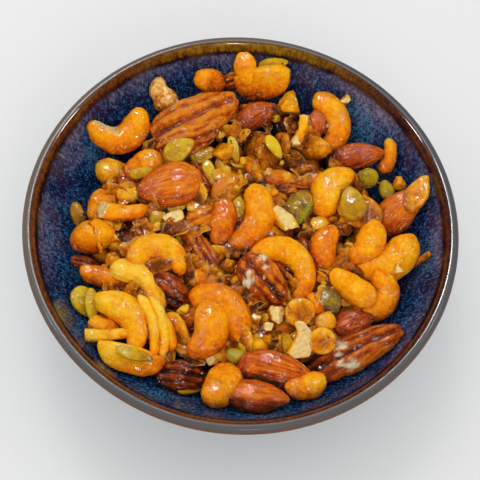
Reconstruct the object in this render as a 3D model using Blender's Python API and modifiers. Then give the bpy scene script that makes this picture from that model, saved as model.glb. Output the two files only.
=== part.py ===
"""Glazed mixed nuts in a round stoneware bowl.

The bowl is one turned wall with a rounded lip and a foot ring. The nuts are one heap: a low core that
fills the bowl's hollow, with every nut, seed and broken piece that shows fused onto it at its true size.
Units are metres, +Z is up, and the origin is the middle of the foot's resting plane.
"""

import math
import random

import bmesh
import bpy
from mathutils import Matrix, Vector

MM = 0.001

# The bowl
RIM_RADIUS = 80.0 * MM
RIM_HEIGHT = 53.0 * MM
LIP_RADIUS = 2.3 * MM
FLOOR_HEIGHT = 11.0 * MM
INNER_REACH = 77.0 * MM  # both walls are ovals, widest a little above the lip
OVAL_RISE = 8.0 * MM
BASE_HEIGHT = 4.5 * MM
FOOT_OUTER = 35.0 * MM
FOOT_INNER = 29.5 * MM
FOOT_BEVEL = 0.8 * MM
RECESS_HEIGHT = 3.5 * MM
BOWL_STEPS = 44
INNER_POINTS = 11
OUTER_POINTS = 7
LIP_POINTS = 4

# The heap
HEAP_GAP = 0.45 * MM
HEAP_RADIUS = 64.0 * MM
HEAP_EDGE = 38.5 * MM
HEAP_CROWN = 3.5 * MM  # the middle stands this far above the edge
HEAP_LEAN = 0.03  # the far side lies higher
LAYER_STEP = 3.2 * MM
MIDDLE_LAYER = 1.0
CORE_DEPTH = 2.2 * MM
CORE_RADIUS = 57.0 * MM  # the core falls away from the nuts towards this radius
CORE_FALL = 8.0 * MM
CORE_STEPS = 30
CORE_RINGS = 10
PROP_FOOT = 0.36  # sizes of a prop as shares of its nut's width
PROP_TOP = 0.22
PROP_ROOT = 2.0 * MM
PROP_REACH = 50.0 * MM
HIGHEST = RIM_HEIGHT - 4.3 * MM
HIGHEST_FAR = RIM_HEIGHT - 1.2 * MM  # for nuts that lean on the far wall
FAR_REACH = 60.0 * MM
FAR_SIDE = 45.0 * MM
WALL_CLEARANCE = 0.6 * MM
WALL_LEAN = 0.8
LEAN_START = 50.0 * MM
LEAN_SPAN = 15.0 * MM
SETTLE_ROUNDS = 14
SETTLE_RISE = 0.8  # shares of what crowds the wall that a nut is raised and moved inwards in a round
SETTLE_SHIFT = 0.5
SEED = 12
FACET_GAIN = 1.1  # a nut with few sides is drawn this much thicker to look as full as a round one
WELD = 0.001 * MM  # points this near are one

# The view that the nuts are laid out in, as the eye of someone standing over the bowl
VIEW_MIDDLE = 240
VIEW_RISE = math.radians(64.4)
VIEW_ROLL = math.radians(6.07)
VIEW_DISTANCE = 380.0 * MM
VIEW_PIXELS = 1034.9  # the distance at which a pixel is as wide as a unit
VIEW_DROP = 0.0223  # the eye looks this far below the middle of the rim

# Each nut as (x, y) of its middle in that view, length and width in mm, then degrees: turn of its long
# axis from the view's right, dip of that axis towards the eye, roll about it. The last value is its layer.
# At no turn a cashew opens towards the top of the view, and at roll 90 its back shows.
CASHEWS = (
    (167, 98, 20.0, 9.0, -45, 0, 60, 0.9),
    (143, 167, 19.0, 11.0, 30, 0, 90, 1.1),
    (102, 206, 16.5, 10.5, 60, 0, 90, 0.7),
    (96, 240, 21.0, 14.0, 200, 0, 30, 1.3),
    (222, 223, 19.5, 10.5, 75, 0, 90, 1.1),
    (250, 221, 30.0, 13.5, 68, 0, 5, 2.2),
    (198, 278, 9.5, 7.0, 12, 0, 90, 0.8),
    (205, 331, 25.5, 13.0, 78, 0, 0, 2.2),
    (222, 312, 28.5, 12.0, 140, 0, 0, 1.1),
    (123, 320, 28.5, 12.5, 126, 0, 10, 2.2),
    (143, 283, 26.0, 9.0, 135, 0, 30, 1.1),
    (128, 361, 26.0, 9.5, -9, 0, 20, 1.0),
    (100, 275, 17.0, 8.0, -12, 0, 90, 1.1),
    (103, 328, 14.0, 8.0, -20, 0, 90, 0.9),
    (220, 387, 20.0, 12.5, 56, 0, 80, 1.3),
    (306, 388, 16.5, 8.5, 12, 0, 70, 0.8),
    (352, 287, 21.5, 10.5, -35, 0, 90, 1.9),
    (385, 258, 28.5, 12.5, 25, 0, 10, 1.2),
    (365, 243, 21.0, 10.5, 62, 0, 10, 2.0),
    (327, 248, 19.5, 9.5, 258, 0, 10, 1.3),
    (333, 192, 25.0, 11.5, 240, 0, 5, 2.0),
    (332, 122, 26.5, 11.0, 100, -10, 10, 1.1),
    (287, 103, 13.5, 10.0, 100, 15, 90, 1.0),
    (262, 84, 20.5, 13.0, 8, 0, 10, 2.0),
    (246, 62, 17.0, 9.5, 100, -10, 90, 1.2),
    (209, 82, 15.0, 10.0, -25, 0, 90, 1.2),
    (316, 303, 11.0, 6.0, -55, 0, 60, 1.1),
    (322, 275, 9.0, 6.5, 60, 0, 90, 0.8),
)
RING_CASHEWS = (
    (289, 264, 27.0, 10.0, 135, 0, 0, 1.6),
    (378, 299, 22.0, 9.5, 60, 0, 15, 0.9),
    (119, 133, 25.0, 10.5, 17, 0, 0, 1.7),
    (160, 252, 23.5, 10.5, 172, 0, 10, 1.6),
)
SPLIT_CASHEWS = (
    (155, 324, 26.0, 10.0, 110, 0, 0, 1.8),
    (301, 341, 13.5, 5.5, 80, 0, 10, 2.0),
    (318, 150, 12.5, 8.0, 195, 0, 0, 1.9),
)
PECANS = (
    (196, 119, 36.0, 16.0, 27, 0, 0, 1.9),
    (187, 132, 24.0, 10.0, 27, 0, 25, 1.9),
    (202, 217, 12.5, 8.0, 22, 0, 0, 0.9),
    (263, 279, 21.5, 13.0, -50, 0, 0, 1.7),
    (285, 268, 12.0, 7.5, -55, 0, 0, 1.0),
    (205, 256, 20.0, 7.5, -58, 0, 0, 0.6),
    (168, 285, 18.0, 12.0, -35, 0, 30, 0.7),
    (87, 263, 11.5, 4.5, -12, 0, 0, 0.7),
    (182, 375, 18.0, 10.5, -5, 0, 0, 0.7),
    (354, 352, 37.5, 12.5, 24, 0, 0, 1.6),
    (234, 81, 9.0, 6.5, 20, 0, 0, 1.0),
    (205, 178, 9.0, 5.0, -60, 0, 0, 0.9),
    (296, 190, 12.0, 5.5, -5, 0, 0, 0.9),
    (178, 334, 17.0, 7.5, -65, 0, 20, 1.0),
)
ALMONDS = (
    (170, 186, 24.0, 15.5, 192, 0, 0, 2.0),
    (226, 187, 13.5, 7.0, 45, 0, 0, 0.9),
    (257, 400, 22.5, 11.5, -10, 0, 15, 1.2),
    (353, 322, 15.0, 8.5, 15, 0, 0, 1.4),
    (398, 212, 22.5, 12.0, 42, 0, 10, 1.3),
    (357, 157, 19.5, 9.5, 10, 0, 10, 1.3),
    (317, 123, 10.5, 7.5, 80, 0, 0, 1.1),
    (256, 116, 17.5, 9.0, 30, 0, 0, 1.6),
    (222, 152, 15.5, 10.5, -72, 0, 0, 1.2),
    (281, 178, 13.0, 5.5, 0, 0, 0, 0.9),
    (277, 371, 28.0, 12.0, -13, 0, 20, 1.9),
)
PUMPKIN_SEEDS = (
    (179, 150, 12.5, 7.8, 36, 0, 0, 2.7),
    (142, 173, 9.0, 4.0, 15, 0, 0, 2.0),
    (79, 217, 11.0, 4.5, -75, 0, 0, 0.7),
    (157, 218, 7.5, 4.5, 30, 0, 0, 0.9),
    (178, 207, 8.0, 3.5, 20, 0, 0, 0.9),
    (137, 355, 13.5, 4.5, -12, 0, 0, 2.0),
    (84, 301, 11.5, 7.5, -72, 0, 0, 1.2),
    (93, 307, 14.0, 4.5, -82, 0, 0, 1.7),
    (191, 387, 10.0, 4.5, 5, 0, 0, 0.6),
    (288, 348, 10.5, 3.5, -84, 0, 0, 1.6),
    (352, 204, 13.0, 8.8, 100, 0, 0, 2.9),
    (420, 193, 15.5, 7.8, 62, -10, 0, 1.5),
    (273, 65, 12.0, 5.0, 12, 0, 0, 2.2),
    (274, 147, 10.0, 4.0, -58, 0, 0, 2.6),
    (234, 150, 10.5, 3.5, -76, 0, 0, 1.8),
    (202, 156, 9.0, 5.0, 10, 0, 0, 0.8),
    (210, 173, 10.0, 4.0, -72, 0, 0, 1.2),
    (238, 208, 8.5, 4.5, 85, 0, 0, 1.2),
    (249, 347, 7.5, 4.5, -20, 0, 0, 1.2),
)
PISTACHIOS = (
    (299, 208, 13.0, 9.5, 60, 0, 0, 1.3),
    (329, 300, 11.0, 7.5, -52, 0, 0, 0.9),
    (368, 178, 8.0, 7.0, 10, 0, 0, 1.2),
    (386, 192, 8.0, 5.5, -70, 0, 0, 1.0),
    (238, 356, 8.0, 5.0, -20, 0, 0, 1.1),
)
PEANUTS = (
    (110, 172, 10.5, 9.5, 20, 0, 0, 0.7),
    (129, 194, 9.0, 7.8, 0, 0, 0, 0.9),
    (325, 322, 8.0, 6.5, 60, 0, 0, 1.3),
    (397, 186, 7.0, 6.0, 60, 0, 0, 1.4),
    (317, 226, 9.0, 7.0, 10, 0, 0, 0.9),
)
STICKS = (
    (121, 211, 19.0, 5.8, -2, 0, 0, 1.8),
    (106, 338, 15.5, 4.3, 9, 10, 0, 1.8),
    (387, 157, 13.5, 5.0, 76, 0, 0, 1.6),
    (301, 128, 14.5, 3.8, 74, 0, 0, 1.6),
    (417, 262, 11.5, 2.2, 27, 0, 0, 1.6),
)
DISCS = (
    (322, 341, 9.8, 9.0, -30, 0, 0, 2.2),
    (297, 312, 11.0, 9.5, 20, 0, 0, 1.4),
    (360, 212, 17.0, 12.0, -20, 0, 0, 2.0),
)
CHUNKS = (
    (159, 264, 11.0, 6.0, 5, 0, 0, 1.0),
    (174, 219, 9.0, 7.0, 40, 0, 0, 1.2),
    (286, 221, 13.0, 10.5, -35, 0, 0, 1.7),
    (113, 261, 9.0, 6.5, 30, 0, 0, 1.5),
    (275, 313, 9.0, 8.0, -30, 0, 0, 1.6),
    (267, 326, 6.5, 5.0, 20, 0, 0, 1.4),
    (255, 317, 10.5, 5.0, 85, 0, 0, 1.3),
    (267, 340, 8.5, 7.0, -60, 0, 0, 1.2),
    (397, 270, 5.0, 4.0, 0, 0, 0, 2.0),
    (388, 278, 5.0, 3.0, 20, 0, 0, 1.9),
    (344, 101, 7.0, 5.0, -40, 0, 0, 1.4),
    (296, 142, 6.5, 5.0, 60, 0, 0, 1.7),
    (258, 176, 8.0, 5.5, 75, 0, 0, 1.4),
    (273, 195, 7.5, 5.5, -60, 0, 0, 1.2),
    (211, 361, 6.0, 5.0, 0, 0, 0, 1.1),
    (184, 309, 6.0, 5.0, 0, 0, 0, 1.1),
)
CLUSTERS = (
    (262, 149, 14.5, 12.5, -40, 0, 0, 1.6),
    (230, 267, 9.0, 6.5, 20, 0, 0, 1.2),
    (238, 291, 13.0, 9.0, -40, 0, 0, 0.8),
    (139, 232, 10.0, 7.0, 10, 0, 0, 0.7),
    (306, 171, 12.5, 7.0, 10, 0, 0, 0.8),
)


def clear_scene():
    """Empty the scene of every object."""
    for item in list(bpy.data.objects):
        bpy.data.objects.remove(item, do_unlink=True)


def wall_radius(height, inset=0.0):
    """Radius of the bowl's inner wall at a height, less an inset."""
    middle = RIM_HEIGHT + OVAL_RISE
    drop = (middle - height) / (middle - FLOOR_HEIGHT - inset)
    return (INNER_REACH - inset) * math.sqrt(max(0.0, 1.0 - drop * drop))


def heap_height(x, y):
    """Height of the heap's surface, through the middles of the nuts that lie on it."""
    spread = min(1.0, (x * x + y * y) / HEAP_RADIUS**2)
    return HEAP_EDGE + HEAP_CROWN * (1.0 - spread) + HEAP_LEAN * y


def core_height(x, y):
    """Height of the core's top."""
    fall = CORE_FALL * (math.hypot(x, y) / CORE_RADIUS) ** 6
    return heap_height(x, y) - CORE_DEPTH - fall


# ---------------------------------------------------------------- the bowl


def oval_points(reach, depth, start, end, count):
    """Points down an oval wall between two angles from its widest level."""
    middle = RIM_HEIGHT + OVAL_RISE
    points = []
    for index in range(count):
        angle = start + (end - start) * index / (count - 1)
        points.append((reach * math.cos(angle), middle - depth * math.sin(angle)))
    return points


def bowl_profile():
    """Half section of the bowl, from the floor's middle over the lip to the underside's middle."""
    middle = RIM_HEIGHT + OVAL_RISE
    lip_level = RIM_HEIGHT - LIP_RADIUS
    inner_depth = middle - FLOOR_HEIGHT
    outer_depth = middle - BASE_HEIGHT
    inner_start = math.asin((middle - lip_level) / inner_depth)
    outer_start = math.asin((middle - lip_level) / outer_depth)
    outer_reach = RIM_RADIUS / math.cos(outer_start)
    outer_end = math.acos((FOOT_OUTER + FOOT_BEVEL) / outer_reach)
    inner = oval_points(INNER_REACH, inner_depth, math.pi / 2.0, inner_start, INNER_POINTS)
    inner[0] = (0.0, FLOOR_HEIGHT)
    lip_middle = (inner[-1][0] + RIM_RADIUS) / 2.0
    lip_reach = (RIM_RADIUS - inner[-1][0]) / 2.0
    lip = []
    for index in range(1, LIP_POINTS + 1):
        angle = math.pi * (1.0 - index / (LIP_POINTS + 1))
        lip.append((lip_middle + lip_reach * math.cos(angle), lip_level + LIP_RADIUS * math.sin(angle)))
    outer = oval_points(outer_reach, outer_depth, outer_start, outer_end, OUTER_POINTS)
    foot = [
        (FOOT_OUTER, FOOT_BEVEL),
        (FOOT_OUTER - FOOT_BEVEL, 0.0),
        (FOOT_INNER + FOOT_BEVEL, 0.0),
        (FOOT_INNER, FOOT_BEVEL),
        (FOOT_INNER - FOOT_BEVEL, RECESS_HEIGHT),
        (0.0, RECESS_HEIGHT),
    ]
    return inner + lip + outer + foot


def turned_object(name, profile, steps):
    """Object turned about the upright axis from a half section."""
    mesh = bpy.data.meshes.new(name)
    edges = [(index, index + 1) for index in range(len(profile) - 1)]
    mesh.from_pydata([(radius, 0.0, height) for radius, height in profile], edges, [])
    item = bpy.data.objects.new(name, mesh)
    bpy.context.scene.collection.objects.link(item)
    screw = item.modifiers.new("turning", "SCREW")
    screw.axis = "Z"
    screw.angle = math.tau
    screw.steps = steps
    screw.render_steps = steps
    screw.use_merge_vertices = True
    screw.merge_threshold = 0.00001
    screw.use_smooth_shade = True
    apply_modifier(item, "turning")
    return item


def apply_modifier(item, name):
    """Apply one modifier of an object."""
    bpy.ops.object.select_all(action="DESELECT")
    bpy.context.view_layer.objects.active = item
    item.select_set(True)
    bpy.ops.object.modifier_apply(modifier=name)


# ---------------------------------------------------------------- shapes of the nuts
# A nut starts as a ball of unit radius whose poles lie on X. Each shape below moves one of its points,
# where u runs along the nut and (v, w) across it, to a place in mm for the nut's length and width.


def cashew_point(u, v, w, length, width, curl=72.0):
    """Kidney whose ends turn towards +Y."""
    ring = math.sqrt(max(0.0, 1.0 - u * u))
    girth = 0.5 * width * (1.0 + 0.08 * u) * ring**0.6 / ring if ring > 0.0 else 0.0
    sweep = math.sin(math.radians(min(90.0, 0.85 * curl)))
    arc = (length - 0.85 * width) / (2.0 * sweep)
    angle = u * math.radians(curl)
    reach = arc - v * girth
    return reach * math.sin(angle), arc - reach * math.cos(angle) - 0.25 * arc, w * girth * 0.92


def ring_cashew_point(u, v, w, length, width):
    """Kidney that curls well round."""
    return cashew_point(u, v, w, length, width, 98.0)


def split_cashew_point(u, v, w, length, width):
    """Half of a kidney, lying on its round side."""
    x, y, z = cashew_point(u, v, w, length, width)
    return x, y, min(z, 0.08 * width)


def pecan_point(u, v, w, length, width):
    """Two lobes with a furrow between them, flatter below."""
    height = 0.34 * w if w > 0.0 else 0.22 * w
    furrow = 0.12 * math.exp(-((v / 0.22) ** 2)) * (1.0 if w > 0.0 else -0.6)
    return 0.5 * u * length, 0.5 * v * width * (1.0 - 0.10 * u), (height - furrow) * width


def almond_point(u, v, w, length, width):
    """Flattened drop, pointed at +X."""
    taper = 1.04 - 0.24 * u - 0.14 * u * u
    return 0.5 * u * length, 0.5 * v * width * taper, 0.29 * w * width * taper


def seed_point(u, v, w, length, width):
    """Thin drop, pointed at +X."""
    taper = 1.04 - 0.28 * u - 0.12 * u * u
    return 0.5 * u * length, 0.5 * v * width * taper, (0.7 + 0.13 * width) * w * taper


def plump_point(u, v, w, length, width):
    """Plump kernel."""
    return 0.5 * u * length, 0.5 * v * width * (1.0 - 0.08 * u), 0.42 * w * width


def stick_point(u, v, w, length, width):
    """Splinter with blunt ends."""
    ring = math.sqrt(max(0.0, 1.0 - u * u))
    girth = 0.5 * width / ring if ring > 0.0 else 0.0
    return 0.5 * length * max(-1.0, min(1.0, u * 1.35)), v * girth, 0.85 * w * girth


def disc_point(u, v, w, length, width):
    """Flat round flake."""
    return 0.5 * u * length, 0.5 * v * width, 0.16 * w * width


def chunk_point(u, v, w, length, width):
    """Chip about as wide as long."""
    return 0.5 * u * length, 0.5 * v * width, 0.4 * w * width


# Name, layout, shape, sides around, rings along, unevenness of the surface as a share of the width
KINDS = (
    ("cashew", CASHEWS, cashew_point, 6, 6, 0.0),
    ("ring_cashew", RING_CASHEWS, ring_cashew_point, 6, 8, 0.0),
    ("split_cashew", SPLIT_CASHEWS, split_cashew_point, 6, 6, 0.0),
    ("pecan", PECANS, pecan_point, 8, 5, 0.02),
    ("almond", ALMONDS, almond_point, 6, 5, 0.0),
    ("seed", PUMPKIN_SEEDS, seed_point, 6, 4, 0.0),
    ("pistachio", PISTACHIOS, plump_point, 5, 4, 0.0),
    ("peanut", PEANUTS, plump_point, 6, 4, 0.0),
    ("stick", STICKS, stick_point, 4, 4, 0.02),
    ("disc", DISCS, disc_point, 6, 4, 0.02),
    ("chunk", CHUNKS, chunk_point, 4, 3, 0.08),
    ("cluster", CLUSTERS, chunk_point, 6, 4, 0.06),
)


def nut_mesh(name, shape, sides, rings, length, width, unevenness, draw):
    """Closed mesh of one nut in metres, its long axis on X."""
    shell = bmesh.new()
    bmesh.ops.create_uvsphere(shell, u_segments=sides, v_segments=rings, radius=1.0)
    jolt = unevenness * width
    for vert in shell.verts:
        v, w, u = vert.co.x * FACET_GAIN, vert.co.y * FACET_GAIN, vert.co.z
        place = Vector(shape(u, v, w, length, width))
        place += Vector([draw.uniform(-jolt, jolt) for _ in range(3)])
        vert.co = place * MM
    mesh = bpy.data.meshes.new(name)
    shell.to_mesh(mesh)
    shell.free()
    return mesh


# ---------------------------------------------------------------- laying the nuts


def view_axes():
    """Place of the eye and the view's right, up and backward directions."""
    level = Vector((0.0, math.cos(VIEW_RISE), -math.sin(VIEW_RISE)))
    lift = Vector((0.0, math.sin(VIEW_RISE), math.cos(VIEW_RISE)))
    eye = Vector((0.0, 0.0, RIM_HEIGHT)) - level * VIEW_DISTANCE
    ahead = (level - lift * VIEW_DROP).normalized()
    right = ahead.cross(Vector((0.0, 0.0, 1.0))).normalized()
    up = right.cross(ahead)
    turned_right = right * math.cos(VIEW_ROLL) + up * math.sin(VIEW_ROLL)
    turned_up = up * math.cos(VIEW_ROLL) - right * math.sin(VIEW_ROLL)
    return eye, turned_right, turned_up, -ahead


def place_on_heap(x, y, layer):
    """Point of the heap that is seen at a place of the view, in a layer above or below its surface."""
    eye, right, up, back = view_axes()
    sight = right * (x - VIEW_MIDDLE) + up * (VIEW_MIDDLE - y) - back * VIEW_PIXELS
    height = HEAP_EDGE
    for _ in range(12):
        point = eye + sight * ((height - eye.z) / sight.z)
        height = heap_height(point.x, point.y) + (layer - MIDDLE_LAYER) * LAYER_STEP
    return point


def lying_axes(turn, dip, roll, place):
    """Turned axes of a nut that lies midway between the heap's level and the view's, or leans on the wall."""
    _, right, _, back = view_axes()
    lean = WALL_LEAN * min(1.0, max(0.0, (place.xy.length - LEAN_START) / LEAN_SPAN))
    inwards = Vector((-place.x, -place.y, 0.0)).normalized()
    normal = (back + Vector((0.0, 0.0, 1.0)) + inwards * lean).normalized()
    along = (right - normal * right.dot(normal)).normalized()
    across = normal.cross(along)
    lying = Matrix((along, across, normal)).transposed()
    turning = Matrix.Rotation(math.radians(turn), 3, "Z")
    dipping = Matrix.Rotation(-math.radians(dip), 3, "Y")
    rolling = Matrix.Rotation(math.radians(roll), 3, "X")
    return lying @ turning @ dipping @ rolling


def wall_crowding(points, middle):
    """How far a nut stands into the wall."""
    places = [middle + point for point in points]
    return max(0.0, max(math.hypot(at.x, at.y) - wall_radius(at.z, WALL_CLEARANCE) for at in places))


def settle(points, middle):
    """Shift a nut below the highest level, then up its line of sight and inwards as the wall needs."""
    towards = (view_axes()[0] - middle).normalized()
    far = middle.xy.length > FAR_REACH and middle.y > FAR_SIDE
    highest = HIGHEST_FAR if far else HIGHEST
    top = max(point.z for point in points)
    middle = middle - towards * max(0.0, middle.z + top - highest)
    for _ in range(SETTLE_ROUNDS):
        rise = SETTLE_RISE * wall_crowding(points, middle)
        middle = middle + towards * min(rise, max(0.0, highest - top - middle.z))
        inwards = Vector((-middle.x, -middle.y, 0.0)).normalized()
        middle = middle + inwards * SETTLE_SHIFT * wall_crowding(points, middle)
    return middle


def add_prop(collection, name, middle, lowest, width):
    """Run a lump of syrup from the core to a nut that lies clear of it."""
    share = min(1.0, PROP_REACH / middle.xy.length)
    foot = Vector((middle.x * share, middle.y * share, 0.0))
    foot.z = core_height(foot.x, foot.y) - PROP_ROOT
    if share == 1.0 and lowest < foot.z:
        return
    lean = (middle - foot).to_track_quat("Z", "Y").to_matrix().to_4x4()
    shell = bmesh.new()
    bmesh.ops.create_cone(
        shell,
        cap_ends=True,
        segments=3,
        radius1=PROP_FOOT * width,
        radius2=PROP_TOP * width,
        depth=(middle - foot).length,
        matrix=Matrix.Translation((middle + foot) / 2.0) @ lean,
    )
    mesh = bpy.data.meshes.new(name)
    shell.to_mesh(mesh)
    shell.free()
    collection.objects.link(bpy.data.objects.new(name, mesh))


def lay_nuts(collection):
    """Lay every nut of the layout."""
    draw = random.Random(SEED)
    for kind, layout, shape, sides, rings, unevenness in KINDS:
        for index, (x, y, length, width, turn, dip, roll, layer) in enumerate(layout):
            name = f"{kind}_{index}"
            mesh = nut_mesh(name, shape, sides, rings, length, width, unevenness, draw)
            place = place_on_heap(x, y, layer)
            mesh.transform(lying_axes(turn, dip, roll, place).to_4x4())
            points = [vert.co.copy() for vert in mesh.vertices]
            middle = settle(points, place)
            mesh.transform(Matrix.Translation(middle))
            collection.objects.link(bpy.data.objects.new(name, mesh))
            lowest = min(vert.co.z for vert in mesh.vertices)
            add_prop(collection, f"{name}_prop", middle, lowest, width * MM)


# ---------------------------------------------------------------- the core


def core_edge(heading):
    """Angle down the wall's oval at which the core's top meets the wall."""
    low, high = 0.7 * CORE_RADIUS, 1.2 * CORE_RADIUS
    for _ in range(24):
        radius = (low + high) / 2.0
        height = core_height(radius * math.cos(heading), radius * math.sin(heading))
        if radius < wall_radius(height, HEAP_GAP):
            low = radius
        else:
            high = radius
    return math.acos(radius / (INNER_REACH - HEAP_GAP))


def core_point(place):
    """Move a point of a unit ball onto the core: its upper half to the top, its lower half to the wall."""
    middle = RIM_HEIGHT + OVAL_RISE
    reach = INNER_REACH - HEAP_GAP
    depth = middle - FLOOR_HEIGHT - HEAP_GAP
    heading = math.atan2(place.y, place.x)
    edge = core_edge(heading)
    if place.z > -0.001:
        radius = reach * math.cos(edge) * math.hypot(place.x, place.y)
        x, y = radius * math.cos(heading), radius * math.sin(heading)
        return Vector((x, y, core_height(x, y)))
    share = math.asin(min(1.0, -place.z)) / (math.pi / 2.0)
    angle = edge + (math.pi / 2.0 - edge) * share
    radius = reach * math.cos(angle)
    return Vector((radius * math.cos(heading), radius * math.sin(heading), middle - depth * math.sin(angle)))


def build_core():
    """Solid that fills the bowl up to just below the nuts that show."""
    shell = bmesh.new()
    bmesh.ops.create_uvsphere(shell, u_segments=CORE_STEPS, v_segments=CORE_RINGS, radius=1.0)
    for vert in shell.verts:
        vert.co = core_point(vert.co)
    bmesh.ops.recalc_face_normals(shell, faces=shell.faces)
    mesh = bpy.data.meshes.new("mixed_nuts")
    shell.to_mesh(mesh)
    shell.free()
    return bpy.data.objects.new("mixed_nuts", mesh)


def keep_outer_shell(item):
    """Drop sealed hollows and loose scraps, so that one closed body is left."""
    body = bmesh.new()
    body.from_mesh(item.data)
    bmesh.ops.remove_doubles(body, verts=body.verts, dist=WELD)
    bmesh.ops.dissolve_degenerate(body, edges=body.edges, dist=WELD)
    unseen = set(body.faces)
    shells = []
    while unseen:
        shell, front = [], [unseen.pop()]
        while front:
            face = front.pop()
            shell.append(face)
            for edge in face.edges:
                for neighbour in edge.link_faces:
                    if neighbour in unseen:
                        unseen.remove(neighbour)
                        front.append(neighbour)
        shells.append(shell)
    shells.sort(key=len)
    for shell in shells[:-1]:
        bmesh.ops.delete(body, geom=shell, context="FACES")
    loose = [vert for vert in body.verts if not vert.link_faces]
    bmesh.ops.delete(body, geom=loose, context="VERTS")
    bmesh.ops.triangulate(body, faces=body.faces)
    body.to_mesh(item.data)
    body.free()


def build_heap(whole):
    """Lay the nuts and join them to the core that carries them."""
    nuts = bpy.data.collections.new("nuts_to_join")
    bpy.context.scene.collection.children.link(nuts)
    lay_nuts(nuts)
    core = build_core()
    whole.objects.link(core)
    joining = core.modifiers.new("joining", "BOOLEAN")
    joining.operation = "UNION"
    joining.operand_type = "COLLECTION"
    joining.collection = nuts
    joining.solver = "MANIFOLD"
    apply_modifier(core, "joining")
    for item in list(nuts.objects):
        bpy.data.objects.remove(item, do_unlink=True)
    bpy.data.collections.remove(nuts)
    keep_outer_shell(core)
    return core


# ---------------------------------------------------------------- finishes and the whole


def finish(item, name, colour, roughness, coat):
    """Give an object its one material."""
    material = bpy.data.materials.new(name)
    material.use_nodes = True
    shader = material.node_tree.nodes["Principled BSDF"]
    shader.inputs["Base Color"].default_value = (*colour, 1.0)
    shader.inputs["Roughness"].default_value = roughness
    shader.inputs["Coat Weight"].default_value = coat
    item.data.materials.clear()
    item.data.materials.append(material)


def main():
    """Build the bowl and its nuts."""
    clear_scene()
    whole = bpy.data.collections.new("bowl_of_mixed_nuts")
    bpy.context.scene.collection.children.link(whole)

    bowl = turned_object("bowl", bowl_profile(), BOWL_STEPS)
    bpy.context.scene.collection.objects.unlink(bowl)
    whole.objects.link(bowl)
    finish(bowl, "glazed_stoneware", (0.035, 0.08, 0.17), 0.22, 0.4)

    nuts = build_heap(whole)
    nuts.data.shade_smooth()
    finish(nuts, "candied_nuts", (0.55, 0.22, 0.04), 0.35, 0.5)


main()
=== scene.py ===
"""Looks of a round stoneware bowl that is filled with glazed mixed nuts.

The bowl is turned from one profile and glazed in blue, plum and amber. The nuts lie as the solid heap
has them: each kind is one joined piece, over a core of nuts that are hidden. Syrup binds them.
Lengths are mm in the layout, the shapes of the nuts and the zones of the glaze, and metres elsewhere.
+Z is up.
"""

import logging
import math
import random
from dataclasses import dataclass, field, replace
from enum import Enum
from typing import Callable, NamedTuple

import bpy
import numpy as np
from mathutils import Matrix, Vector

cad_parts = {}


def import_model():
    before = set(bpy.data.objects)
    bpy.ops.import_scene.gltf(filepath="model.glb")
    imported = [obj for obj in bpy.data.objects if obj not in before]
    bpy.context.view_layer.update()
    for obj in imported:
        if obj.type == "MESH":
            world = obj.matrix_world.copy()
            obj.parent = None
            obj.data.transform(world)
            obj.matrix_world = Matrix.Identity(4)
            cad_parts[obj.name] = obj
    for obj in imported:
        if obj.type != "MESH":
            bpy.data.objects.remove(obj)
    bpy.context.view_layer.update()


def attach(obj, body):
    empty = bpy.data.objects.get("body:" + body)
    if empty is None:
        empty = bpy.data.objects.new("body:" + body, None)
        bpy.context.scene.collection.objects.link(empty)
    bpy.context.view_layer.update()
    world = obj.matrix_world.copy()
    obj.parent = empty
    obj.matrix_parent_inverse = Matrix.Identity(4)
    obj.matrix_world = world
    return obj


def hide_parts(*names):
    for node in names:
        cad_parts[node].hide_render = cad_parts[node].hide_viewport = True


LOG = logging.getLogger("bowl_of_nuts")
MM = 0.001
BODY = "root"
HEAP_NODE = "mixed_nuts"
BOWL_NODE = "bowl"
UP = Vector((0.0, 0.0, 1.0))

Points = np.ndarray
Spread = tuple[Points, Points, Points]
Section = list[tuple[float, float]]
Range = tuple[float, float]
Triple = tuple[float, float, float]
Colour = tuple[float, float, float, float]
Socket = bpy.types.NodeSocket
Groups = dict[str, bpy.types.NodeTree]


def linear(level: int) -> float:
    """Linear value of one 8-bit channel of a display colour."""
    share = level / 255.0
    return share / 12.92 if share <= 0.04045 else ((share + 0.055) / 1.055) ** 2.4


def tone(red: int, green: int, blue: int) -> Colour:
    """Linear colour of an 8-bit display colour."""
    return linear(red), linear(green), linear(blue), 1.0


# ---------------------------------------------------------------- sizes that the pieces share


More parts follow.
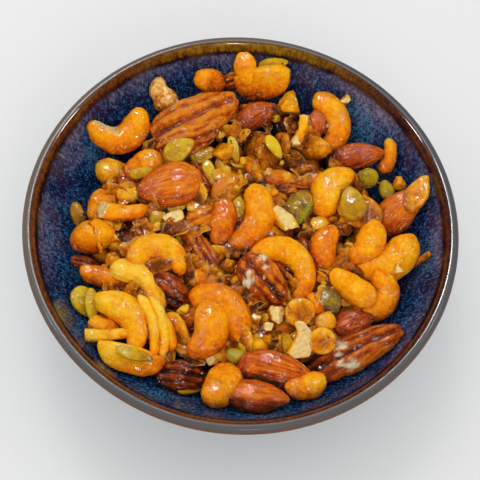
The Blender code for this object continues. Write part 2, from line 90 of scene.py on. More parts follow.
@dataclass(frozen=True)
class Hollow:
    """The bowl's inside and the heap in it, as the solids have them."""

    rim_radius: float = 80.0 * MM
    rim_height: float = 53.0 * MM
    lip_radius: float = 2.3 * MM
    floor_height: float = 11.0 * MM
    inner_reach: float = 77.0 * MM
    oval_rise: float = 8.0 * MM
    heap_radius: float = 64.0 * MM
    heap_edge: float = 38.5 * MM
    heap_crown: float = 3.5 * MM
    heap_lean: float = 0.03
    layer_step: float = 3.2 * MM
    middle_layer: float = 1.0
    core_depth: float = 6.6 * MM
    core_radius: float = 57.0 * MM
    core_fall: float = 8.0 * MM
    highest: float = 48.7 * MM
    highest_far: float = 51.8 * MM
    far_reach: float = 60.0 * MM
    far_side: float = 45.0 * MM
    clearance: float = 0.6 * MM
    shade_start: float = -0.5 * MM
    shade_end: float = 4.5 * MM

    @property
    def middle(self) -> float:
        """Height of the widest level of the wall's oval."""
        return self.rim_height + self.oval_rise

    def wall_radius(self, height: Points, inset: float = 0.0) -> Points:
        """Radius of the inner wall at one height or at many, less the gap to keep to it."""
        drop = (self.middle - height) / (self.middle - self.floor_height - inset)
        return (self.inner_reach - inset) * np.sqrt(np.maximum(0.0, 1.0 - drop * drop))

    def heap_height(self, x: Points, y: Points) -> Points:
        """Height of the surface through the middles of the nuts on top."""
        spread = np.minimum(1.0, (x * x + y * y) / self.heap_radius**2)
        return self.heap_edge + self.heap_crown * (1.0 - spread) + self.heap_lean * y

    def core_height(self, x: Points, y: Points) -> Points:
        """Height of the top of what lies hidden."""
        fall = self.core_fall * (np.hypot(x, y) / self.core_radius) ** 6
        return self.heap_height(x, y) - self.core_depth - fall


@dataclass(frozen=True)
class View:
    """What is seen by someone who stands over the bowl, in which the nuts are laid out.

    Its places are pixels of a square frame, from the upper left corner.
    """

    hollow: Hollow
    middle: float = 240.0
    rise: float = math.radians(64.4)
    roll: float = math.radians(6.07)
    distance: float = 380.0 * MM
    pixels: float = 1034.9
    drop: float = 0.0223
    frame: float = 480.0
    heap_steps: int = 12
    wall_lean: float = 0.8
    lean_start: float = 50.0 * MM
    lean_span: float = 15.0 * MM
    settle_rounds: int = 14
    settle_rise: float = 0.8
    settle_shift: float = 0.5

    def axes(self) -> tuple[Vector, Vector, Vector, Vector]:
        """Find how the eye stands.

        Returns:
            Its place, and the view's right, up and backward directions.
        """
        level = Vector((0.0, math.cos(self.rise), -math.sin(self.rise)))
        lift = Vector((0.0, math.sin(self.rise), math.cos(self.rise)))
        eye = UP * self.hollow.rim_height - level * self.distance
        ahead = (level - lift * self.drop).normalized()
        right = ahead.cross(UP).normalized()
        up = right.cross(ahead)
        turned_right = right * math.cos(self.roll) + up * math.sin(self.roll)
        turned_up = up * math.cos(self.roll) - right * math.sin(self.roll)
        return eye, turned_right, turned_up, -ahead

    def sight(self, x: float, y: float) -> tuple[Vector, Vector]:
        """Eye and direction of the line of sight through a place of the view."""
        eye, right, up, back = self.axes()
        return eye, right * (x - self.middle) + up * (self.middle - y) - back * self.pixels

    def place_on_heap(self, x: float, y: float, layer: float) -> Vector:
        """Point of the heap that is seen at a place of the view.

        Args:
            x: Place to the right.
            y: Place down.
            layer: Layer above or below the heap's surface.

        Returns:
            The point, in metres.
        """
        eye, sight = self.sight(x, y)
        height = self.hollow.heap_edge
        lift = (layer - self.hollow.middle_layer) * self.hollow.layer_step
        for _ in range(self.heap_steps):
            point = eye + sight * ((height - eye.z) / sight.z)
            height = float(self.hollow.heap_height(point.x, point.y)) + lift
        return point

    def lying_axes(self, lie: "Lie", place: Vector) -> Matrix:
        """Turned axes of a nut that lies midway between the heap's level and the view's, or leans.

        Args:
            lie: The nut's row of the layout, for its turn, dip and roll in degrees.
            place: Where it lies; near the wall it leans inwards.

        Returns:
            The axes as the columns of a matrix.
        """
        _, right, _, back = self.axes()
        lean = self.wall_lean * min(1.0, max(0.0, (place.xy.length - self.lean_start) / self.lean_span))
        inwards = Vector((-place.x, -place.y, 0.0)).normalized()
        normal = (back + UP + inwards * lean).normalized()
        along = (right - normal * right.dot(normal)).normalized()
        lying = Matrix((along, normal.cross(along), normal)).transposed()
        turning = Matrix.Rotation(math.radians(lie.turn), 3, "Z")
        dipping = Matrix.Rotation(-math.radians(lie.dip), 3, "Y")
        rolling = Matrix.Rotation(math.radians(lie.roll), 3, "X")
        return lying @ turning @ dipping @ rolling

    def crowding(self, points: Points, middle: Vector) -> float:
        """Find how far a nut stands into the wall.

        Args:
            points: Corners of the nut about its middle, in metres.
            middle: Where the middle lies.

        Returns:
            The depth in metres, or 0.
        """
        reach = np.hypot(points[:, 0] + middle.x, points[:, 1] + middle.y)
        wall = self.hollow.wall_radius(points[:, 2] + middle.z, self.hollow.clearance)
        return max(0.0, float((reach - wall).max()))

    def settle(self, points: Points, middle: Vector) -> Vector:
        """Shift a nut below the highest level, then up its line of sight and inwards off the wall.

        Args:
            points: Corners of the nut about its middle, in metres.
            middle: Where the middle would lie.

        Returns:
            Where the middle lies.
        """
        towards = (self.axes()[0] - middle).normalized()
        far = middle.xy.length > self.hollow.far_reach and middle.y > self.hollow.far_side
        highest = self.hollow.highest_far if far else self.hollow.highest
        top = float(points[:, 2].max())
        middle = middle - towards * max(0.0, middle.z + top - highest)
        for _ in range(self.settle_rounds):
            rise = self.settle_rise * self.crowding(points, middle)
            middle = middle + towards * min(rise, max(0.0, highest - top - middle.z))
            inwards = Vector((-middle.x, -middle.y, 0.0)).normalized()
            middle = middle + inwards * self.settle_shift * self.crowding(points, middle)
        return middle


# ---------------------------------------------------------------- steps at the bench


def deselect() -> None:
    """Leave nothing selected."""
    if bpy.context.mode != "OBJECT":
        bpy.ops.object.mode_set(mode="OBJECT")
    bpy.ops.object.select_all(action="DESELECT")


def pick(item: bpy.types.Object) -> None:
    """Select one object alone and make it the active one.

    Args:
        item: The object.
    """
    deselect()
    bpy.context.view_layer.objects.active = item
    item.select_set(True)


def smooth(item: bpy.types.Object) -> bpy.types.Object:
    """Shade an object smooth.

    Args:
        item: The object.

    Returns:
        The same object.
    """
    pick(item)
    bpy.ops.object.shade_smooth()
    return item


def apply_modifier(item: bpy.types.Object, kind: str, **settings: object) -> None:
    """Add a modifier with the given settings and apply it.

    Args:
        item: The object it works on.
        kind: Blender's name of the modifier.
        **settings: Values of its properties.
    """
    pick(item)
    modifier = item.modifiers.new(kind.lower(), kind)
    for name, value in settings.items():
        setattr(modifier, name, value)
    bpy.ops.object.modifier_apply(modifier=modifier.name)


class Grain(NamedTuple):
    """Relief that is raised on a surface by cloudy noise."""

    size: float
    height: float
    basis: str = "BLENDER_ORIGINAL"
    depth: int = 2
    level: float = 0.5

    def raise_on(self, item: bpy.types.Object, share: float = 1.0) -> None:
        """Raise and lower an object's surface.

        Args:
            item: The object.
            share: Share of the relief's full height.
        """
        texture = bpy.data.textures.new(f"{item.name}_lumps", "CLOUDS")
        texture.noise_scale = self.size
        texture.noise_depth = self.depth
        texture.noise_basis = self.basis
        apply_modifier(item, "DISPLACE", texture=texture, strength=self.height * share, mid_level=self.level)


def finish_piece(item: bpy.types.Object, node: str, material: bpy.types.Material) -> None:
    """Dress a piece and put it in the place of its solid.

    Args:
        item: The piece.
        node: Solid that it replaces.
        material: What it is dressed in.
    """
    pick(item)
    bpy.ops.object.transform_apply(location=True, rotation=True, scale=True)
    item.data.materials.clear()
    item.data.materials.append(material)
    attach(item, BODY)
    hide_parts(node)
    LOG.info("%s: %d corners", item.name, len(item.data.vertices))


# ---------------------------------------------------------------- wiring of materials


def set_inputs(node: bpy.types.Node, **values: object) -> None:
    """Give a node plain values by the names of its inputs, with underscores for spaces."""
    for name, value in values.items():
        node.inputs[name.replace("_", " ")].default_value = value


class Wiring:
    """Places and joins the nodes of one material or node group."""

    def __init__(self, tree: bpy.types.NodeTree) -> None:
        """Start on a node tree."""
        self.tree = tree

    def node(self, kind: str, **settings: object) -> bpy.types.Node:
        """Place a node.

        Args:
            kind: Blender's name of the node, without what all of them start with.
            **settings: Values of its properties.

        Returns:
            The node.
        """
        made = self.tree.nodes.new(f"ShaderNode{kind}")
        for name, value in settings.items():
            setattr(made, name, value)
        return made

    def feed(self, socket: Socket, source: object) -> None:
        """Join a socket to another one, or give it a plain value.

        Args:
            socket: The socket that is fed.
            source: The other socket or the value.
        """
        if isinstance(source, bpy.types.NodeSocket):
            self.tree.links.new(source, socket)
        else:
            socket.default_value = source

    def maths(self, operation: str, *values: object) -> Socket:
        """Work with two or three values.

        Args:
            operation: Blender's name of the operation.
            *values: Sockets or numbers.

        Returns:
            The result.
        """
        made = self.node("Math", operation=operation)
        for socket, value in zip(made.inputs, values):
            self.feed(socket, value)
        return made.outputs[0]

    def total(self, first: object, second: object) -> Socket:
        """Sum of two values."""
        return self.maths("ADD", first, second)

    def product(self, first: object, second: object) -> Socket:
        """Product of two values."""
        return self.maths("MULTIPLY", first, second)

    def line(self, value: object, slope: float, start: float) -> Socket:
        """Value on a straight line."""
        return self.maths("MULTIPLY_ADD", value, slope, start)

    def centred(self, value: object, swing: object) -> Socket:
        """Noise about 0, with the given swing."""
        return self.product(self.maths("SUBTRACT", value, 0.5), swing)

    def noise(self, place: Socket, scale: float, detail: float = 2.0, rough: float = 0.5) -> Socket:
        """Cloudy noise.

        Args:
            place: Coordinates.
            scale: Lumps to the metre.
            detail: Rounds of finer noise on it.
            rough: Strength of each finer round.

        Returns:
            A value between 0 and 1.
        """
        made = self.node("TexNoise")
        self.feed(made.inputs["Vector"], place)
        set_inputs(made, Scale=scale, Detail=detail, Roughness=rough)
        return made.outputs["Fac"]

    def cells(self, place: Socket, scale: float) -> Socket:
        """Scatter cells.

        Args:
            place: Coordinates.
            scale: Cells to the metre.

        Returns:
            The distance from the nearest cell's middle.
        """
        made = self.node("TexVoronoi")
        self.feed(made.inputs["Vector"], place)
        set_inputs(made, Scale=scale)
        return made.outputs["Distance"]

    def stretched(self, place: Socket, scale: Triple) -> Socket:
        """Scale coordinates along each axis.

        Args:
            place: Coordinates.
            scale: Factor along each axis.

        Returns:
            The scaled coordinates.
        """
        made = self.node("Mapping")
        self.feed(made.inputs["Vector"], place)
        set_inputs(made, Scale=scale)
        return made.outputs["Vector"]

    def parts(self, place: Socket) -> bpy.types.NodeOutputs:
        """Split coordinates.

        Args:
            place: Coordinates.

        Returns:
            The outputs X, Y and Z.
        """
        made = self.node("SeparateXYZ")
        self.feed(made.inputs[0], place)
        return made.outputs

    def reach(self, place: Socket) -> Socket:
        """Find how far places lie from the upright axis.

        Args:
            place: Coordinates.

        Returns:
            The distance.
        """
        length = self.node("VectorMath", operation="LENGTH")
        self.feed(length.inputs[0], self.stretched(place, (1.0, 1.0, 0.0)))
        return length.outputs["Value"]

    def band(self, value: object, low: float, high: float) -> Socket:
        """Step smoothly from one value to another.

        Args:
            value: What decides.
            low: Where the step starts.
            high: Where it ends.

        Returns:
            0 at the low value and 1 at the high one.
        """
        made = self.node("MapRange", interpolation_type="SMOOTHSTEP")
        self.feed(made.inputs["Value"], value)
        set_inputs(made, From_Min=low, From_Max=high)
        return made.outputs["Result"]

    def ramp(self, value: object, stops: tuple[tuple[float, Colour], ...]) -> Socket:
        """Pick a colour from a row of stops.

        Args:
            value: What decides.
            stops: Each stop's place and colour.

        Returns:
            The colour.
        """
        made = self.node("ValToRGB")
        elements = made.color_ramp.elements
        while len(elements) < len(stops):
            elements.new(0.5)
        for element, (place, colour) in zip(elements, stops):
            element.position = place
            element.color = colour
        self.feed(made.inputs["Fac"], value)
        return made.outputs["Color"]

    def blend(self, share: object, first: object, second: object, way: str = "MIX") -> Socket:
        """Mix two colours.

        Args:
            share: Share of the second.
            first: The first colour.
            second: The second colour.
            way: Blender's name of the way of mixing.

        Returns:
            The mixed colour.
        """
        made = self.node("Mix", data_type="RGBA", blend_type=way)
        self.feed(made.inputs[0], share)
        self.feed(made.inputs[6], first)
        self.feed(made.inputs[7], second)
        return made.outputs[2]

    def bump(self, height: Socket, distance: float, strength: float = 1.0) -> Socket:
        """Normal of a surface with fine relief.

        Args:
            height: The relief.
            distance: Its full height in metres.
            strength: Its strength between 0 and 1.

        Returns:
            The normal.
        """
        made = self.node("Bump")
        set_inputs(made, Strength=strength, Distance=distance)
        self.feed(made.inputs["Height"], height)
        return made.outputs["Normal"]

    def group(self, tree: bpy.types.NodeTree, **inputs: object) -> bpy.types.Node:
        """Place a node group.

        Args:
            tree: The group.
            **inputs: What feeds its named inputs.

        Returns:
            The node.
        """
        made = self.node("Group")
        made.node_tree = tree
        for name, source in inputs.items():
            self.feed(made.inputs[name], source)
        return made

    def attribute(self, name: str) -> bpy.types.Node:
        """Read an attribute of the mesh."""
        return self.node("Attribute", attribute_name=name)


def new_group(name: str, inputs: dict[str, str], outputs: dict[str, str]) -> tuple[Wiring, dict, dict]:
    """Start a node group with named sockets.

    Args:
        name: The group's name.
        inputs: Kind of each input socket by name.
        outputs: Kind of each output socket by name.

    Returns:
        The group's wiring, its inputs by name and its outputs by name.
    """
    tree = bpy.data.node_groups.new(name, "ShaderNodeTree")
    for label, kind in inputs.items():
        tree.interface.new_socket(label, in_out="INPUT", socket_type=f"NodeSocket{kind}")
    for label, kind in outputs.items():
        tree.interface.new_socket(label, in_out="OUTPUT", socket_type=f"NodeSocket{kind}")
    entry = tree.nodes.new("NodeGroupInput")
    leave = tree.nodes.new("NodeGroupOutput")
    return Wiring(tree), dict(entry.outputs.items()), dict(leave.inputs.items())


def new_material(name: str) -> tuple[bpy.types.Material, Wiring, bpy.types.Node, Socket]:
    """Start a material.

    Args:
        name: Its name.

    Returns:
        The material, its wiring, its Principled shader and the Object coordinates.
    """
    material = bpy.data.materials.new(name)
    material.use_nodes = True
    wiring = Wiring(material.node_tree)
    place = wiring.node("TexCoord").outputs["Object"]
    return material, wiring, material.node_tree.nodes["Principled BSDF"], place


def roasting_group() -> bpy.types.NodeTree:
    """Unevenness of a roast: blotches over the nut and streaks along it.

    Returns:
        The node group.
    """
    wiring, given, made = new_group(
        "roasting",
        {"Place": "Vector", "Ball": "Vector", "Toast": "Float", "Blotches": "Float", "Streaks": "Float"},
        {"Roast": "Float", "Grooves": "Float"},
    )
    broad = wiring.centred(wiring.noise(given["Place"], 260.0, 3.0, 0.6), 1.7)
    fine = wiring.centred(wiring.noise(given["Place"], 720.0, 3.0, 0.6), 1.5)
    blotches = wiring.product(wiring.total(broad, fine), given["Blotches"])
    grooves = wiring.noise(wiring.stretched(given["Ball"], (1.1, 6.5, 6.5)), 1.0, 3.0, 0.65)
    streaks = wiring.centred(grooves, given["Streaks"])
    roast = wiring.total(given["Toast"], wiring.total(blotches, streaks))
    wiring.feed(made["Roast"], roast)
    wiring.feed(made["Grooves"], grooves)
    return wiring.tree


def depth_group(hollow: Hollow) -> bpy.types.NodeTree:
    """How deep a point lies between the nuts.

    Args:
        hollow: The bowl's inside and the heap's height.

    Returns:
        The node group. It gives 0 on top and 1 where hardly any light comes.
    """
    wiring, given, made = new_group("heap_depth", {"Place": "Vector"}, {"Deep": "Float"})
    axes = wiring.parts(given["Place"])
    share = wiring.maths("DIVIDE", wiring.reach(given["Place"]), hollow.heap_radius)
    fall = wiring.maths("POWER", share, 2.0)
    crown = wiring.line(fall, -hollow.heap_crown, hollow.heap_edge + hollow.heap_crown)
    top = wiring.total(crown, wiring.product(axes["Y"], hollow.heap_lean))
    depth = wiring.maths("SUBTRACT", top, axes["Z"])
    wiring.feed(made["Deep"], wiring.band(depth, hollow.shade_start, hollow.shade_end))
    return wiring.tree


def sugar_group() -> bpy.types.NodeTree:
    """Film of sugar: its beads and runs, and the grains and frosting where it has dried; its pale flecks also
    stand in for glints, as painted highlights.

    Returns:
        The node group.
    """
    wiring, given, made = new_group(
        "sugar_film",
        {"Place": "Vector", "Frost": "Float"},
        {"Height": "Float", "DryAndGlints": "Float", "Wet": "Float"},
    )
    place = given["Place"]
    beads = wiring.noise(place, 480.0, 2.0, 0.5)
    grains = wiring.cells(place, 900.0)
    patches = wiring.band(wiring.noise(place, 230.0, 2.0), 0.44, 0.62)
    film = wiring.maths("SUBTRACT", wiring.total(beads, wiring.product(grains, -0.12)), 0.42)
    wiring.feed(made["Height"], wiring.product(film, wiring.line(patches, 0.9, 0.4)))
    wiring.feed(made["Wet"], wiring.line(patches, 0.96, 0.04))
    # Flecks and crust of dried sugar in a pale colour; the flecks also stand in for glints, as painted
    # highlights.
    sugar_and_glint_specks = wiring.band(wiring.noise(place, 1100.0, 2.0), 0.66, 0.7)
    crust = wiring.band(wiring.noise(place, 420.0, 5.0, 0.75), 0.62, 0.67)
    dry_and_glints = wiring.product(wiring.maths("MAXIMUM", sugar_and_glint_specks, crust), patches)
    wiring.feed(made["DryAndGlints"], wiring.product(dry_and_glints, given["Frost"]))
    return wiring.tree


# ---------------------------------------------------------------- finishes


@dataclass(frozen=True)
class NutFinish:
    """Skin of one kind of nut under its sugar, from the palest roast to the darkest."""

    name: str
    tones: tuple[Colour, ...]
    flesh: Colour = tone(226, 196, 138)
    # Pale colour of the dried sugar, which also paints flecks that stand in for glints, as painted
    # highlights.
    sugar: Colour = tone(255, 234, 190)
    # Colour of the painted shade that the skin darkens towards where it lies deep between the nuts.
    painted_shade: Colour = tone(84, 52, 30)
    blotches: float = 0.35
    streaks: float = 0.0
    # Share of the dried sugar and of the painted glint flecks.
    frost_and_glints: float = 0.8
    grooves: float = 0.0
    relief: float = 1.0
    gloss: float = 0.45
    dryness: float = 0.4
    relief_height: float = 1.0 * MM
    film_height: float = 0.45 * MM
    glow: float = 0.12
    glow_depth: float = 1.5 * MM

    def dress(self, groups: Groups) -> bpy.types.Material:
        """Build the material.

        Args:
            groups: The shared node groups by name.

        Returns:
            The material.
        """
        material, wiring, shader, place = new_material(self.name)
        roast = wiring.group(
            groups["roasting"],
            Place=place,
            Ball=wiring.attribute("ball").outputs["Vector"],
            Toast=wiring.attribute("toast").outputs["Fac"],
            Blotches=self.blotches,
            Streaks=self.streaks,
        ).outputs
        sugar = wiring.group(groups["sugar_film"], Place=place, Frost=self.frost_and_glints).outputs
        deep = wiring.group(groups["heap_depth"], Place=place).outputs["Deep"]
        colour = self.colour(wiring, place, roast["Roast"], sugar["DryAndGlints"], deep)
        wiring.feed(shader.inputs["Base Color"], colour)
        wiring.feed(shader.inputs["Roughness"], wiring.line(sugar["DryAndGlints"], self.dryness, self.gloss))
        grooves = wiring.product(roast["Grooves"], self.grooves)
        height = wiring.total(grooves, wiring.product(sugar["Height"], self.relief))
        wiring.feed(shader.inputs["Normal"], wiring.bump(height, self.relief_height))
        wiring.feed(shader.inputs["Coat Normal"], wiring.bump(height, self.film_height))
        wiring.feed(shader.inputs["Coat Weight"], sugar["Wet"])
        set_inputs(shader, Coat_Roughness=0.04, Coat_IOR=1.46, Specular_IOR_Level=0.05)
        set_inputs(shader, Subsurface_Weight=self.glow, Subsurface_Scale=self.glow_depth)
        set_inputs(shader, Subsurface_Radius=(1.0, 0.45, 0.12))
        return material

    def colour(self, wiring: Wiring, place: Socket, roast: Socket, dry_and_glints: Socket, deep: Socket) -> Socket:
        """Colour of the skin, its breaks, its dried sugar and painted glints, with painted shade between the
        nuts.

        Args:
            wiring: The material's wiring.
            place: Object coordinates.
            roast: How dark the skin is, with painted shade in it.
            dry_and_glints: How much dried sugar and painted glint lies on it.
            deep: How deep it lies between the nuts.

        Returns:
            The colour.
        """
        last = len(self.tones) - 1
        skin = wiring.ramp(roast, tuple((index / last, colour) for index, colour in enumerate(self.tones)))
        darker = tuple(0.75 * level for level in self.flesh[:3]) + (1.0,)
        flesh = wiring.ramp(wiring.noise(place, 700.0, 3.0, 0.6), ((0.3, darker), (0.55, self.flesh)))
        colour = wiring.blend(wiring.attribute("cut").outputs["Fac"], skin, flesh)
        colour = wiring.blend(dry_and_glints, colour, self.sugar)
        # Painted shade: the skin darkens where it lies deep between the nuts.
        return wiring.blend(deep, colour, wiring.blend(1.0, colour, self.painted_shade, "MULTIPLY"))


@dataclass(frozen=True)
class StonewareGlaze:
    """Reactive glaze: amber where it thins below the lip, then plum, then mottled blue.

    Heights and distances from the axis, where one zone gives way to the next, are mm.
    """

    name: str = "glazed_stoneware"
    lip: Colour = tone(104, 90, 80)
    lip_right: Colour = tone(78, 78, 82)
    lip_near: Colour = tone(86, 84, 83)
    line: Colour = tone(104, 62, 28)
    amber: Colour = tone(150, 108, 3)
    russet: Colour = tone(118, 60, 8)
    umber: Colour = tone(80, 40, 24)
    shade: Colour = tone(176, 160, 150)
    dark: Colour = tone(30, 14, 26)
    plum: Colour = tone(36, 26, 56)
    slate: Colour = tone(60, 66, 98)
    # Palest grey of the glaze near the lip; it also paints the patches of painted reflection.
    pale_glaze_and_reflection: Colour = tone(116, 118, 142)
    navy: Colour = tone(8, 14, 48)
    blue: Colour = tone(20, 54, 104)
    teal: Colour = tone(72, 122, 156)
    clay: Colour = tone(176, 150, 118)
    plum_level: Range = (40.0, 46.5)
    dark_level: Range = (47.2, 49.4)
    amber_level: Range = (49.6, 51.3)
    lip_level: Range = (50.0, 50.6)
    umber_reach: Range = (76.6, 76.9)
    lip_reach: Range = (76.8, 77.3)
    edge_level: Range = (49.2, 50.2)
    edge_reach: Range = (79.3, 79.8)
    clay_level: Range = (2.2, 1.7)
    amber_side: Range = (56.0, 77.0)
    umber_side: Range = (10.0, 62.0)
    right_side: Range = (0.0, 50.0)
    near_side: Range = (-10.0, -60.0)
    drip_swing: float = 2.6
    sag_swing: float = 2.0
    far_rise: float = 0.7
    lip_swing: float = 0.5
    lip_dullness: float = 0.3
    lip_coat: float = 0.12
    gloss: float = 0.25
    dryness: float = 0.6
    relief_height: float = 0.15 * MM

    def wall(self, wiring: Wiring, place: Socket, ragged: Socket) -> Socket:
        """Mottled colour of the wall, greyer towards the lip, with pale patches of painted reflection.

        Args:
            wiring: The material's wiring.
            place: Object coordinates.
            ragged: Height in mm, uneven around the bowl.

        Returns:
            The colour.
        """
        broad = wiring.noise(place, 42.0, 3.0, 0.55)
        runs = wiring.noise(wiring.stretched(place, (1.0, 1.0, 0.4)), 900.0, 3.0, 0.7)
        grain = wiring.noise(place, 1800.0, 2.0, 0.6)
        reflection_clouds = wiring.noise(wiring.stretched(place, (1.0, 1.0, 1.6)), 62.0, 2.0)
        mottle = wiring.total(wiring.product(runs, 0.6), wiring.product(grain, 0.4))
        mottle = wiring.total(mottle, wiring.centred(broad, 0.4))
        lower = wiring.ramp(mottle, ((0.42, self.navy), (0.5, self.blue), (0.59, self.teal)))
        upper = wiring.ramp(mottle, ((0.38, self.plum), (0.5, self.slate), (0.63, self.pale_glaze_and_reflection)))
        share = wiring.product(wiring.band(ragged, *self.plum_level), wiring.band(broad, 0.36, 0.56))
        # Pale patches of painted reflection over the blue.
        patches = wiring.product(wiring.band(reflection_clouds, 0.57, 0.64), 0.6)
        return wiring.blend(wiring.maths("MAXIMUM", share, patches), lower, upper)

    def below_lip(self, wiring: Wiring, side: Socket, far: Socket, drips: Socket) -> Socket:
        """Streaked brown below the lip: amber at the far side, umber at the right.

        Args:
            wiring: The material's wiring.
            side: Place to the right in mm.
            far: How far back the place lies, from 0 to 1.
            drips: Noise that runs down the wall.

        Returns:
            The colour.
        """
        honey = wiring.blend(far, self.russet, self.amber)
        honey = wiring.blend(wiring.band(side, *self.umber_side), honey, self.umber)
        shaded = wiring.blend(1.0, honey, self.shade, "MULTIPLY")
        return wiring.blend(wiring.band(drips, 0.35, 0.65), shaded, honey)

    def dress(self) -> bpy.types.Material:
        """Build the material.

        Returns:
            The material.
        """
        material, wiring, shader, place = new_material(self.name)
        axes = wiring.parts(place)
        side, back, level = (wiring.product(axes[name], 1.0 / MM) for name in "XYZ")
        drips = wiring.noise(wiring.stretched(place, (1.0, 1.0, 0.05)), 950.0, 2.0, 0.6)
        sag = wiring.noise(place, 55.0, 2.0)
        far = wiring.band(back, *self.amber_side)
        ragged = wiring.total(level, wiring.centred(drips, self.drip_swing))
        ragged = wiring.total(ragged, wiring.centred(sag, self.sag_swing))
        ragged = wiring.total(ragged, wiring.product(far, self.far_rise))
        reach = wiring.product(wiring.reach(place), 1.0 / MM)
        wavering = wiring.total(reach, wiring.centred(sag, self.lip_swing))
        lip = wiring.blend(wiring.band(side, *self.right_side), self.lip, self.lip_right)
        lip = wiring.blend(wiring.band(back, *self.near_side), lip, self.lip_near)
        upper = wiring.band(level, *self.lip_level)
        on_lip = wiring.product(upper, wiring.band(wavering, *self.lip_reach))
        outermost = wiring.band(reach, *self.edge_reach)
        bare = wiring.band(level, *self.clay_level)
        zones = (
            (wiring.band(ragged, *self.dark_level), self.dark),
            (wiring.band(ragged, *self.amber_level), self.below_lip(wiring, side, far, drips)),
            (wiring.product(upper, wiring.band(reach, *self.umber_reach)), self.umber),
            (on_lip, lip),
            (wiring.product(outermost, wiring.band(level, *self.edge_level)), self.line),
            (bare, self.clay),
        )
        colour = self.wall(wiring, place, ragged)
        for share, glaze in zones:
            colour = wiring.blend(share, colour, glaze)
        wiring.feed(shader.inputs["Base Color"], colour)
        dull = wiring.maths("MAXIMUM", bare, wiring.product(on_lip, self.lip_dullness))
        wiring.feed(shader.inputs["Roughness"], wiring.line(dull, self.dryness, self.gloss))
        relief = wiring.bump(wiring.noise(place, 900.0), self.relief_height, strength=0.25)
        wiring.feed(shader.inputs["Normal"], relief)
        wiring.feed(shader.inputs["Coat Weight"], wiring.line(on_lip, self.lip_coat - 1.0, 1.0))
        set_inputs(shader, Specular_IOR_Level=0.2, Coat_Roughness=0.05)
        return material


@dataclass(frozen=True)
class SyrupFinish:
    """Burnt sugar that has set between the nuts."""

    name: str = "set_syrup"
    thin: Colour = tone(168, 88, 2)
    thick: Colour = tone(56, 22, 0)
    # Colour of the painted shade deep between the nuts.
    deep_shade: Colour = tone(20, 8, 0)
    relief_height: float = 0.4 * MM

    def dress(self, groups: Groups) -> bpy.types.Material:
        """Build the material.

        Args:
            groups: The shared node groups by name.

        Returns:
            The material.
        """
        material, wiring, shader, place = new_material(self.name)
        depth = wiring.noise(place, 150.0, 3.0, 0.6)
        colour = wiring.ramp(depth, ((0.35, self.thick), (0.65, self.thin)))
        deep = wiring.group(groups["heap_depth"], Place=place).outputs["Deep"]
        # Painted shade: the syrup darkens where it lies deep between the nuts.
        wiring.feed(shader.inputs["Base Color"], wiring.blend(deep, colour, self.deep_shade))
        wiring.feed(shader.inputs["Normal"], wiring.bump(wiring.noise(place, 800.0), self.relief_height))
        set_inputs(shader, Roughness=0.5, Specular_IOR_Level=0.05, Coat_Weight=0.3, Coat_Roughness=0.12)
        return material


CASHEW_SKIN = NutFinish(
    "cashew_skin",
    (tone(247, 202, 66), tone(248, 178, 6), tone(240, 140, 0), tone(208, 94, 0), tone(108, 40, 0)),
    flesh=tone(236, 198, 126),
    blotches=0.4,
    glow=0.25,
)
PECAN_SKIN = NutFinish(
    "pecan_skin",
    (tone(224, 130, 18), tone(186, 80, 5), tone(124, 42, 1), tone(50, 15, 0)),
    flesh=tone(226, 204, 166),
    blotches=0.5,
    streaks=0.9,
    grooves=0.6,
    frost_and_glints=0.95,
)
ALMOND_SKIN = NutFinish(
    "almond_skin",
    (tone(234, 134, 14), tone(204, 88, 5), tone(144, 50, 1), tone(68, 23, 0)),
    flesh=tone(232, 206, 150),
    streaks=1.5,
    grooves=0.8,
    relief=0.8,
    frost_and_glints=0.95,
)
SEED_SKIN = NutFinish(
    "seed_skin",
    (tone(222, 186, 28), tone(196, 146, 8), tone(158, 104, 4), tone(92, 56, 2)),
    blotches=0.4,
    streaks=0.3,
    grooves=0.2,
    relief=0.7,
)
PISTACHIO_SKIN = NutFinish(
    "pistachio_skin",
    (tone(180, 154, 18), tone(158, 118, 12), tone(114, 90, 48), tone(84, 58, 56)),
    flesh=tone(150, 165, 16),
    blotches=0.75,
    streaks=0.5,
    grooves=0.25,
)
KERNEL_SKIN = NutFinish(
    "kernel_skin",
    (tone(240, 196, 116), tone(214, 134, 44), tone(168, 86, 16), tone(98, 42, 6)),
    flesh=tone(232, 200, 148),
    blotches=0.9,
    relief=1.6,
    frost_and_glints=0.6,
)
GOLDEN_SKIN = NutFinish(
    "golden_skin",
    (tone(242, 188, 40), tone(230, 148, 4), tone(190, 100, 0), tone(112, 52, 0)),
    flesh=tone(240, 208, 132),
    blotches=0.6,
    glow=0.18,
)
CLUSTER_SKIN = NutFinish(
    "cluster_skin",
    (tone(214, 136, 14), tone(176, 92, 4), tone(118, 56, 2), tone(50, 20, 0)),
    flesh=tone(206, 160, 90),
    blotches=0.9,
    relief=1.8,
    frost_and_glints=0.95,
    glow=0.0,
)
FLAKE_SKIN = NutFinish(
    "caramel_flakes",
    (tone(228, 160, 16), tone(204, 116, 0), tone(158, 74, 0), tone(80, 32, 0)),
    flesh=tone(228, 184, 90),
    blotches=0.8,
    relief=1.2,
    frost_and_glints=0.7,
    glow=0.2,
)


# ---------------------------------------------------------------- shapes of the nuts


class Blank(NamedTuple):
    """A nut before it is shaped: points of a unit ball, and the nut's size in mm.

    The ball's poles lie on X. So u runs along the nut, and v and w across it.
    """

    u: Points
    v: Points
    w: Points
    length: float
    width: float

    def ring(self) -> Points:
        """Radius of the ball where each point lies along it."""
        return np.sqrt(np.maximum(1e-6, 1.0 - self.u * self.u))

    def blunted(self, fullness: float) -> Points:
        """Factor across the ball that makes its ends blunt."""
        return np.minimum(1.0, fullness * self.ring()) / self.ring()


Shape = Callable[[Blank], Spread]


